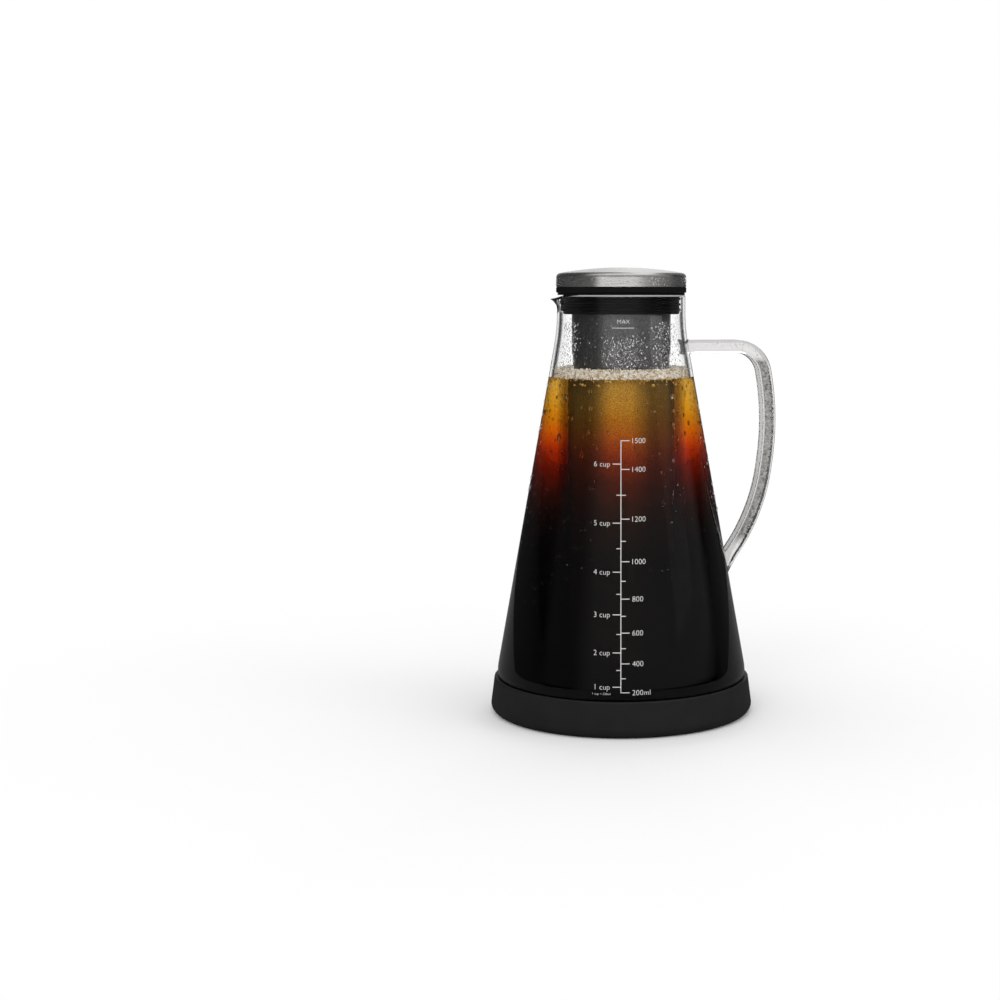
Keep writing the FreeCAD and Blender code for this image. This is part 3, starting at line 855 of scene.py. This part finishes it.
class BREW_OT_drink(bpy.types.Operator):
    """Fill the carafe with coffee"""
    bl_idname = "brew.drink"
    bl_label = "Coffee"

    def execute(self, context):
        vessel = context.scene.brew_vessel
        drink = context.scene.brew_drink
        outer = wall_outline(vessel, 0.0)
        inner = wall_outline(vessel, vessel.wall)
        side_foot, floor_top, skin, sunk = 11 * MM, 10.5 * MM, 0.15 * MM, 0.1 * MM
        heights = np.linspace(side_foot, drink.level, 140)
        side = np.stack([radius_at(outer, heights) - skin, heights], axis=1)
        low = inner[(inner[:, 1] < floor_top) & (inner[:, 0] < side[0, 0])] - np.array([0, sunk])
        outline = np.vstack([low, side, [[0, drink.level]]])
        mesh_object("coffee", turned(outline, 192), coffee(drink.level), "carafe", shadow=False)
        return {"FINISHED"}


class BREW_OT_plume(bpy.types.Operator):
    """Hang a clear shell round the filter whose painted brown shade darkens the edges of the filter's column
    """
    bl_idname = "brew.plume"
    bl_label = "Dense brew"

    def execute(self, context):
        drink = context.scene.brew_drink
        low, top, bevel = 24 * MM, drink.level - 0.3 * MM, 2 * MM
        reach = drink.plume_radius
        outline = [[0, low], [reach - bevel, low], [reach, low + bevel], [reach, top], [0, top]]
        skin = turned(spaced(np.array(outline), 3 * MM), 160)
        # Painted shade: the shell browns where it is looked along.
        haze = brown_haze(context.scene.brew_finish.dense_brew)
        plume = mesh_object("painted_shade_plume", skin, haze, "carafe", shadow=False)
        plume.data.set_sharp_from_angle(angle=math.radians(30))
        return {"FINISHED"}


class BREW_OT_foam(bpy.types.Operator):
    """Float the foam on the coffee"""
    bl_idname = "brew.foam"
    bl_label = "Foam"

    def execute(self, context):
        vessel = context.scene.brew_vessel
        drink = context.scene.brew_drink
        look = context.scene.brew_finish
        rng = np.random.default_rng(7)
        inner = wall_outline(vessel, vessel.wall)
        total = drink.wall_bubbles + drink.surface_bubbles
        sizes = drink.bubble_small + (drink.bubble_large - drink.bubble_small) * rng.random(total) ** 2.2
        turn = rng.random(total) * FULL_TURN
        fringe_share, fringe_depth, depth, spread, gap = 0.12, 3.4 * MM, 0.6 * MM, 0.9 * MM, 0.1 * MM
        fringe = rng.random(total) < fringe_share
        low = drink.level - np.where(fringe, fringe_depth, depth)
        height = low + (drink.foam_top - low) * rng.random(total)
        edge = radius_at(inner, height) - sizes - gap
        start = drink.filter_radius + sizes + gap
        share_out = np.sqrt(rng.random(total))
        on_wall = np.arange(total) < drink.wall_bubbles
        radius = np.where(on_wall, edge, start + (edge - start) * share_out)
        top = drink.foam_top - sizes - spread * rng.random(total)
        height = np.where(on_wall, height, top)
        points = np.stack([radius * np.cos(turn), radius * np.sin(turn), height], axis=1)
        kept = spread_out(points, sizes * 0.8)
        frames = [(points[i], np.eye(3) * sizes[i]) for i in kept]
        skin = scattered(bead_pattern(6, 8, True), frames)
        foam = froth(look.foam_light, look.foam_dark)
        mesh_object("foam_bubbles", skin, foam, "carafe", shadow=False)
        return {"FINISHED"}


class BREW_OT_foam_bed(bpy.types.Operator):
    """Lay the close foam under the loose bubbles"""
    bl_idname = "brew.foam_bed"
    bl_label = "Foam bed"

    def execute(self, context):
        drink = context.scene.brew_drink
        look = context.scene.brew_finish
        vessel = context.scene.brew_vessel
        inner = wall_outline(vessel, vessel.wall)
        clear = 1.1 * MM
        heights = np.linspace(drink.level + 0.1 * MM, drink.foam_top - drink.bubble_large, 8)
        skirt = radius_at(inner, heights) - clear
        outline = [(drink.filter_radius + clear, heights[0])] + list(zip(skirt, heights))
        outline += [(drink.filter_radius + clear, heights[-1])]
        skin = hooped(spaced(np.array(outline + outline[:1]), 1.5 * MM)[:-1], 160)
        mesh_object("foam_bed", skin, froth(look.foam_light, look.foam_dark), "carafe")
        return {"FINISHED"}


# Single drops as distance right of the scale, height and radius, in millimetres
SPOT_DROPS = (
    (-33.0, 178.5, 1.25), (30.8, 179.0, 1.5), (30.3, 164.4, 1.15), (30.6, 171.5, 1.0), (-16.8, 182.0, 1.2),
    (-10.5, 171.2, 0.6), (-7.3, 160.7, 0.75), (7.8, 152.7, 0.8), (-17.6, 160.5, 0.8), (-31.0, 168.0, 0.9),
    (-28.0, 167.6, 0.95), (33.5, 156.0, 0.9), (9.2, 171.8, 0.5), (14.5, 176.0, 0.55), (-12.6, 152.4, 0.6),
    (3.2, 178.0, 0.45), (-3.6, 166.8, 0.4), (-22.4, 173.6, 0.7), (20.1, 165.2, 0.6), (-14.2, 144.6, 0.5),
)
# Mist patches as degrees from the scale, half their width in degrees, and top in millimetres
NECK_PATCHES = ((3, 20, 212), (-50, 11, 219), (42, 18, 219), (150, 20, 216), (-160, 22, 218))
# How deep a drop sits in its surface, and its height as a share of its radius
DROP_SUNK = 0.02 * MM
DROP_RISE = 0.55


def wall_drop(outline, turn, height, size, longer):
    """Place, outward direction, radius and lengthening of a drop on the vessel's wall."""
    out = unit(np.array([math.cos(turn), math.sin(turn), float(slope_at(outline, height))]))
    reach = float(radius_at(outline, height)) - DROP_SUNK
    return (np.array([reach * math.cos(turn), reach * math.sin(turn), height]), out, size, longer)


class BREW_OT_dew(bpy.types.Operator):
    """Settle condensed drops on the glass, the handle and the lid"""
    bl_idname = "brew.dew"
    bl_label = "Condensation"

    def execute(self, context):
        scene = context.scene
        dew = scene.brew_dew
        vessel = scene.brew_vessel
        rng = np.random.default_rng(11)
        outer = wall_outline(vessel, 0.0)
        facing = scene.brew_scale.bearing
        dry = (facing, dew.print_clear)
        wet = water("condensed_water", 1.0, 1.2, scene.brew_finish.drop_edge)
        # Mist drops: a quarter of each is matt white, painted sparkle in place of the highlights that real
        # small drops catch.
        mist_painted_sparkle = water("condensed_mist", 0.75, 1.33, scene.brew_finish.drop_edge)

        def wall(number, low, high, small, large, *where):
            return self.on_wall(rng, outer, number, (low * MM, high * MM), small, large, *where)

        def settle(name, drops, rings, segments, material, body="carafe", shadow=False):
            skin = scattered(bead_pattern(rings, segments, False), self.separate(drops))
            mesh_object(name, skin, material, body, shadow=shadow)

        drops = []
        for across, up, size in SPOT_DROPS:
            height = up * MM
            turn = facing + across * MM / float(radius_at(outer, height))
            drops.append(wall_drop(outer, turn, height, size * MM, 1.4))
        drops += wall(dew.large_drops, 118, 187, 2.5 * dew.small, dew.large, dry)
        drops += wall(dew.cone_drops, 112, 192, dew.small, 3 * dew.small, dry)
        drops += wall(dew.low_drops, 26, 112, dew.mist, dew.small, dry)
        settle("dew_on_glass", drops, 5, 16, wet)
        fine = []
        for bearing, spread, top in NECK_PATCHES:
            patch = (facing + math.radians(bearing), math.radians(spread))
            fine += wall(dew.patch_mist, 194, top, dew.mist, 1.9 * dew.small, None, patch)
        fine += wall(dew.neck_mist, 193, 221, dew.mist, dew.small, None)
        fine += wall(dew.body_mist, 66, 132, 0.7 * dew.mist, 0.6 * dew.small, dry)
        settle("mist_on_neck", fine, 4, 10, mist_painted_sparkle)
        on_bar = self.on_handle(rng, scene.brew_handle, vessel, dew.handle_drops, dew.mist)
        settle("dew_on_handle", on_bar, 4, 10, wet)
        lid_low, lid_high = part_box("lid_cap")
        on_lid = []
        for _ in range(dew.lid_drops):
            turn = rng.uniform(-math.pi, math.pi)
            out = np.array([math.cos(turn), math.sin(turn), 0])
            place = out * (lid_high.x - DROP_SUNK)
            place[2] = rng.uniform(lid_low.z + 1 * MM, lid_low.z + 5 * MM)
            size = dew.mist + 1.4 * dew.small * rng.random() ** 2
            on_lid.append((place, out, size, 1.0 + rng.random()))
        settle("dew_on_lid", on_lid, 4, 12, wet, "lid", shadow=True)
        return {"FINISHED"}

    @staticmethod
    def on_wall(rng, outline, number, heights, small, large, dry, patch=(0.0, math.pi)):
        """(place, outward, radius, lengthening) of random drops on the vessel's wall."""
        drops = []
        for _ in range(number):
            turn = patch[0] + patch[1] * rng.uniform(-1, 1)
            if patch[1] < math.pi:
                turn = 0.5 * (turn + patch[0] + patch[1] * rng.uniform(-1, 1))
            height = rng.uniform(*heights)
            if dry and abs(turn - dry[0]) * float(radius_at(outline, height)) < dry[1]:
                continue
            size = small + (large - small) * rng.random() ** 3
            drops.append(wall_drop(outline, turn, height, size, 1.0 + 0.8 * rng.random()))
        return drops

    @staticmethod
    def on_handle(rng, handle, vessel, number, small):
        """Random drops on the two flat sides of the handle."""
        line = spaced(handle_line(handle, vessel), 1.0 * MM)
        along = headings(line)
        drops = []
        for _ in range(number):
            i = rng.integers(3, len(line) - 3)
            way = np.array([along[i][0], 0, along[i][1]])
            inward = np.array([-way[2], 0, way[0]])
            size = small + 0.35 * MM * rng.random() ** 2
            out = np.array([0, rng.choice((-1.0, 1.0)), 0])
            across = (handle.thickness / 2 - handle.corner) * rng.uniform(-1, 1)
            place = np.array([line[i][0], 0, line[i][1]])
            place = place + inward * across + out * (handle.width / 2 - DROP_SUNK)
            drops.append((place, out, size, 1.0 + 0.5 * rng.random()))
        return drops

    @staticmethod
    def separate(drops):
        """Frames of the drops that don't touch one another."""
        points = [d[0] for d in drops]
        gaps = np.array([d[2] * d[3] for d in drops])
        frames = []
        for i in spread_out(points, gaps * 0.8):
            place, out, size, longer = drops[i]
            axes = axes_on(out, np.array([0.0, 0.0, 1.0]))
            frames.append((place, axes * np.array([[size * longer], [size], [size * DROP_RISE]])))
        return frames


class BREW_OT_screen(bpy.types.Operator):
    """Roll the filter's fine steel cloth with its lapped seam"""
    bl_idname = "brew.screen"
    bl_label = "Filter screen"

    def execute(self, context):
        look = context.scene.brew_finish
        low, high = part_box("filter_screen")
        cup_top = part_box("filter_base_cup")[1].z
        sleeve_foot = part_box("filter_mouth_ring")[0].z
        outer = -low.x
        thickness, half_seam, seam_edge = 0.4 * MM, 2.2 * MM, 0.4 * MM
        heights = spaced(np.array([[outer, low.z], [outer, high.z]]), 2 * MM)[:, 1]
        segments = 180
        off = np.abs((bearings(segments) + math.pi) % FULL_TURN - math.pi) * outer
        lap = np.clip((half_seam - off) / seam_edge, 0, 1) * (high.x - outer)
        bare = (heights >= cup_top) & (heights <= sleeve_foot)
        face = outer + np.outer(bare, lap)
        radii = np.vstack([face, np.full_like(face, outer - thickness)])
        skin = (ring_points(radii, np.concatenate([heights, heights[::-1]]), segments),
                ring_faces(len(radii), segments, True))
        steel = woven_steel("filter_cloth_steel", look.filter_steel, look.cloth_steel,
                            context.scene.brew_drink.level)
        cloth = mesh_object("filter_screen_cloth", skin, steel, "filter")
        cloth.data.set_sharp_from_angle(angle=math.radians(40))
        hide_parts("filter_screen")
        return {"FINISHED"}


# Marks as amount and height in millimetres
VOLUME_MARKS = (
    (200, 24.6), (300, 31.9), (400, 39.6), (500, 47.5), (600, 55.6), (700, 64.35), (800, 73.3),
    (900, 82.6), (1000, 92.8), (1100, 103.5), (1200, 115.1), (1300, 127.65), (1400, 141.2), (1500, 156.3),
)
CUP_MARKS = (
    (1, 27.5), (1.5, 36.2), (2, 45.3), (2.5, 54.9), (3, 65.1), (3.5, 75.8), (4, 87.35), (4.5, 99.6),
    (5, 113.0), (5.5, 127.65), (6, 144.0),
)
# Half the height of a digit as a share of its size
HALF_DIGIT = 0.34


class BREW_OT_scale(bpy.types.Operator):
    """Print the volume scale and the fill mark on the glass"""
    bl_idname = "brew.scale"
    bl_label = "Printed scale"

    def execute(self, context):
        look = context.scene.brew_scale
        outline = wall_outline(context.scene.brew_vessel, 0.0)
        vertices, faces = [], []

        def add(flat, flat_faces):
            base = len(vertices)
            for across, up, out in flat:
                reach = float(radius_at(outline, up)) + out
                turn = look.bearing + across / reach
                vertices.append((reach * math.cos(turn), reach * math.sin(turn), up))
            faces.extend(tuple(base + i for i in f) for f in flat_faces)

        def bar(left, right, low, high):
            across = max(1, math.ceil((right - left) / (2 * MM)))
            up = max(1, math.ceil((high - low) / (3 * MM)))
            add(*self.slab(left, right, low, high, across, up, look.ink))

        def words(text, size, centre_up, left=None, right=None):
            flat, flat_faces = self.letters(text, size, look.ink)
            low, high = flat[:, 0].min(), flat[:, 0].max()
            flat[:, 0] += left - low if right is None else right - high
            flat[:, 1] += centre_up - size * HALF_DIGIT
            add(flat, flat_faces)

        half = look.stroke / 2
        first, last = VOLUME_MARKS[0], VOLUME_MARKS[-1]
        bar(-half, half, first[1] * MM - half, last[1] * MM + half)
        for amount, up in VOLUME_MARKS:
            major = amount % 200 == 0 or amount == last[0]
            bar(half, (4.6 if major else 2.6) * MM, up * MM - half, up * MM + half)
            if major:
                label = f"{amount}ml" if amount == first[0] else str(amount)
                words(label, look.letter, up * MM, left=6.1 * MM)
        for amount, up in CUP_MARKS:
            major = amount == int(amount)
            bar((-4.4 if major else -2.4) * MM, -half, up * MM - half, up * MM + half)
            if major:
                words(f"{amount} cup", look.letter, up * MM, right=-5.9 * MM)
        words("1 cup = 236ml", 0.42 * look.letter, 23.9 * MM, right=-5.6 * MM)
        words(look.mark, 0.8 * look.letter, 219.3 * MM, left=-2.0 * MM)
        fill_line, thin = 215.9 * MM, half * 0.7
        bar(-4.9 * MM, 7.0 * MM, fill_line - thin, fill_line + thin)
        ink = printed_ink(context.scene.brew_finish.ink)
        mesh_object("printed_scale", (vertices, faces), ink, "carafe")
        return {"FINISHED"}

    @staticmethod
    def slab(left, right, low, high, across, up, thick):
        """A closed thin box, divided so that it can follow a curved wall."""
        lines = [(left + (right - left) * i / across, low + (high - low) * j / up)
                 for j in range(up + 1) for i in range(across + 1)]
        size = len(lines)
        flat = [(x, z, thick) for x, z in lines] + [(x, z, -thick) for x, z in lines]
        faces = []
        row = across + 1
        for j in range(up):
            for i in range(across):
                a = j * row + i
                faces.append((a, a + 1, a + row + 1, a + row))
                faces.append((size + a, size + a + row, size + a + row + 1, size + a + 1))
        for i in range(across):
            faces.append((i + 1, i, size + i, size + i + 1))
            a = up * row + i
            faces.append((a, a + 1, size + a + 1, size + a))
        for j in range(up):
            a = j * row
            faces.append((a, a + row, size + a + row, size + a))
            a = j * row + across
            faces.append((a + row, a, size + a, size + a + row))
        return flat, faces

    @staticmethod
    def letters(text, size, thick):
        """Corners and faces of solid letters lying flat, as (across, up, out)."""
        curve = bpy.data.curves.new("lettering", "FONT")
        curve.body = text
        curve.size = size
        curve.extrude = thick
        curve.offset = -0.016 * size
        curve.resolution_u = 3
        lettering = bpy.data.objects.new("lettering", curve)
        bpy.context.scene.collection.objects.link(lettering)
        graph = bpy.context.evaluated_depsgraph_get()
        mesh = bpy.data.meshes.new_from_object(lettering.evaluated_get(graph))
        flat = np.array([v.co[:] for v in mesh.vertices])
        faces = [tuple(p.vertices) for p in mesh.polygons]
        bpy.data.objects.remove(lettering)
        bpy.data.curves.remove(curve)
        bpy.data.meshes.remove(mesh)
        return flat, faces


class BREW_OT_finishes(bpy.types.Operator):
    """Put the finishes on the boot, the filter and the lid"""
    bl_idname = "brew.finishes"
    bl_label = "Finishes"

    def execute(self, context):
        look = context.scene.brew_finish
        level = context.scene.brew_drink.level
        dress(["base_boot"], matt_rubber("boot_silicone", look.silicone, 0.6, 0.42, 0.12))
        dress(["filter_collar", "lid_gasket"], matt_rubber("seal_silicone", look.seal, 0.5, 0.06, 0.0))
        dress(["lid_core"], matt_rubber("lid_plastic", look.plastic, 0.5, 0.3, 0.12))
        dress(["lid_cap"], brushed_steel("brushed_cap", look.lid_steel, (1, 1, 30), 0.27, 0.75))
        dress(["filter_mouth_ring"], woven_steel("filter_sleeve_steel", look.filter_steel, look.cloth_steel,
                                                 level))
        dress(["filter_screen"], woven_steel("slotted_steel", look.filter_steel, look.cloth_steel, level))
        dress(["filter_base_cup"], brushed_steel("filter_cup_steel", look.filter_steel, (1, 1, 20), 0.3, 0.4))
        return {"FINISHED"}


class BREW_OT_studio(bpy.types.Operator):
    """Set up the floor, the light and the camera"""
    bl_idname = "brew.studio"
    bl_label = "Studio"

    def execute(self, context):
        scene = context.scene
        studio = scene.brew_studio
        scene.view_settings.view_transform = "Standard"
        self.world(scene, studio)
        self.floor(scene.brew_finish.floor)
        self.lamp("key_softbox", (-0.9, -1.3, 1.3), 1.0, 1.3, 7.0)
        self.lamp("fill_softbox", (1.3, -0.9, 0.8), 0.8, 1.2, 4.0)
        self.lamp("back_softbox", (0.5, 1.4, 1.1), 1.2, 0.8, 5.0)
        camera = bpy.data.cameras.new("camera")
        camera.lens = studio.lens
        camera.shift_x = studio.shift
        holder = bpy.data.objects.new("camera", camera)
        scene.collection.objects.link(holder)
        holder.location = (math.sin(studio.bearing) * studio.distance,
                           -math.cos(studio.bearing) * studio.distance, studio.height)
        holder.rotation_euler = (math.pi / 2 - studio.tilt, 0, studio.bearing)
        scene.camera = holder
        return {"FINISHED"}

    @staticmethod
    def world(scene, studio):
        """White to the eye and through glass, a two-sided light tent in reflections."""
        world = bpy.data.worlds.new("studio")
        scene.world = world
        world.use_nodes = True
        tree = world.node_tree
        shader = tree.nodes["Background"]
        feed(tree, shader.inputs["Color"], WHITE)

        def blended(factor, first, second):
            return mixed(tree, factor, first, second, "FLOAT")

        def times(first, second):
            return figure(tree, "MULTIPLY", first, second)

        sky = added(tree, "TexCoord", "Generated", {})
        x, y, z = added(tree, "SeparateXYZ", "Z", {"Vector": sky}).node.outputs
        turned_x = figure(tree, "MULTIPLY_ADD", y, math.tan(studio.tent_turn), x)
        across = spanned(tree, turned_x, -1.0, 1.0)
        lifted = spanned(tree, z, -1.0, 1.0)
        dim, high = studio.tent_gap, studio.tent_high
        low_panel = ramp(tree, across, [(0.0, 0.02), (0.035, 0.02), (0.065, 1.0), (0.54, 1.0), (0.72, 0.3),
                                        (0.9, 0.12), (0.97, 0.03)])
        low_row = ramp(tree, lifted, [(0.0, 0.05), (0.34, 0.05), (0.36, 1.0), (0.465, 1.0), (0.475, 0.05)])
        low = times(times(low_panel, low_row), studio.tent_low)
        high_panel = ramp(tree, across, [(0.0, 0.4), (0.04, 0.4), (0.12, 1.0), (1.0, 1.0)])
        ceiling = ramp(tree, lifted, [(0.0, dim), (0.78, dim), (0.92, high)])
        front = blended(spanned(tree, z, 0.0, 0.05), low, times(high_panel, ceiling))
        strip = [(0.48, 0.15), (0.58, 0.15), (0.63, 1.0), (0.73, 1.0), (0.78, 0.15), (0.88, 0.15)]
        back_low = ramp(tree, across, [(0.0, 0.3), (0.40, 0.12)] + strip + [(0.96, 0.3)])
        back_high = ramp(tree, across, [(0.0, 0.03), (0.40, 0.03)] + strip + [(0.96, 0.03)])
        back_panel = blended(spanned(tree, z, 0.03, 0.07), back_low, back_high)
        back = times(back_panel, ramp(tree, lifted, [(0.0, dim), (0.52, dim), (0.56, high)]))
        dusk = blended(spanned(tree, z, 0.35, 0.6), studio.tent_backlight, studio.tent_dusk)
        backdrop = ramp(tree, across, [(0.0, 0.03), (0.44, 0.03), (0.50, 1.0), (0.84, 1.0), (0.90, 0.03)])
        path = tree.nodes.new("ShaderNodeLightPath").outputs
        inside = spanned(tree, path["Transmission Depth"], 0.4, 0.6)
        back = blended(inside, back, times(backdrop, dusk))
        tent = blended(spanned(tree, y, -0.1, 0.1), front, back)
        matt = figure(tree, "GREATER_THAN", path["Diffuse Depth"], 0.5)
        soft = blended(matt, tent, studio.ambient)
        through = blended(path["Is Camera Ray"], dusk, 1.0)
        feed(tree, shader.inputs["Strength"], blended(unbounced(tree, path), soft, through))

    @staticmethod
    def floor(tone):
        """A pale round floor that fades into the white background."""
        corners, reach, fade_start, fade_end = 96, 0.9, 0.11, 0.5
        mesh = bpy.data.meshes.new("floor")
        mesh.from_pydata([(reach * math.cos(t), reach * math.sin(t), 0) for t in bearings(corners)], [],
                         [tuple(range(corners))])
        material, tree = new_finish("studio_floor")
        tree.nodes.remove(tree.nodes["Principled BSDF"])
        path = tree.nodes.new("ShaderNodeLightPath").outputs
        seen = unbounced(tree, path)
        dim = [0.2 * c for c in tone]
        tint = mixed(tree, path["Glossy Depth"], mixed(tree, seen, tone, WHITE), dim)
        matt = added(tree, "BsdfDiffuse", "BSDF", {"Color": tint})
        glow = added(tree, "Emission", "Emission", {})
        far = added(tree, "VectorMath", "Value", {0: own_place(tree)}, operation="LENGTH")
        fade = spanned(tree, far, fade_start, fade_end, interpolation_type="SMOOTHSTEP")
        blend = {"Fac": figure(tree, "MULTIPLY", fade, seen), 1: matt, 2: glow}
        surface = added(tree, "MixShader", "Shader", blend)
        feed(tree, tree.nodes["Material Output"].inputs["Surface"], surface)
        mesh.materials.append(material)
        floor = bpy.data.objects.new("floor", mesh)
        bpy.context.scene.collection.objects.link(floor)

    @staticmethod
    def lamp(name, place, width, height, power):
        """A soft box that faces the middle of the jug."""
        light = bpy.data.lights.new(name, "AREA")
        light.shape = "RECTANGLE"
        light.size = width
        light.size_y = height
        light.energy = power
        holder = bpy.data.objects.new(name, light)
        holder.visible_glossy = False
        bpy.context.scene.collection.objects.link(holder)
        aim = unit(np.array([0.0, 0.0, 0.12]) - np.array(place))
        holder.location = place
        holder.rotation_euler = (math.acos(-aim[2]), 0, math.atan2(aim[1], aim[0]) - math.pi / 2)


PIECES = (
    BREW_OT_carafe,
    BREW_OT_handle,
    BREW_OT_drink,
    BREW_OT_plume,
    BREW_OT_foam_bed,
    BREW_OT_foam,
    BREW_OT_dew,
    BREW_OT_scale,
    BREW_OT_screen,
    BREW_OT_finishes,
    BREW_OT_studio,
)


class BREW_PT_panel(bpy.types.Panel):
    """Sizes, colours and pieces of the coffee maker"""
    bl_idname = "BREW_PT_panel"
    bl_label = "Cold Brew Coffee Maker"
    bl_space_type = "VIEW_3D"
    bl_region_type = "UI"
    bl_category = "Cold Brew"

    def draw(self, context):
        for piece in PIECES:
            self.layout.operator(piece.bl_idname)
        for name, group in SETTINGS.items():
            box = self.layout.box()
            box.label(text=group.__name__)
            for field in group.__annotations__:
                box.prop(getattr(context.scene, name), field)


CLASSES = tuple(SETTINGS.values()) + PIECES + (BREW_PT_panel,)


def register():
    for cls in CLASSES:
        bpy.utils.register_class(cls)
    for name, group in SETTINGS.items():
        setattr(bpy.types.Scene, name, PointerProperty(type=group))


def unregister():
    for name in SETTINGS:
        delattr(bpy.types.Scene, name)
    for cls in reversed(CLASSES):
        bpy.utils.unregister_class(cls)


def main():
    register()
    bpy.ops.brew.carafe()
    bpy.ops.brew.handle()
    bpy.ops.brew.drink()
    bpy.ops.brew.plume()
    bpy.ops.brew.foam_bed()
    bpy.ops.brew.foam()
    bpy.ops.brew.dew()
    bpy.ops.brew.scale()
    bpy.ops.brew.screen()
    bpy.ops.brew.finishes()
    bpy.ops.brew.studio()


if __name__ == "__main__":
    main()
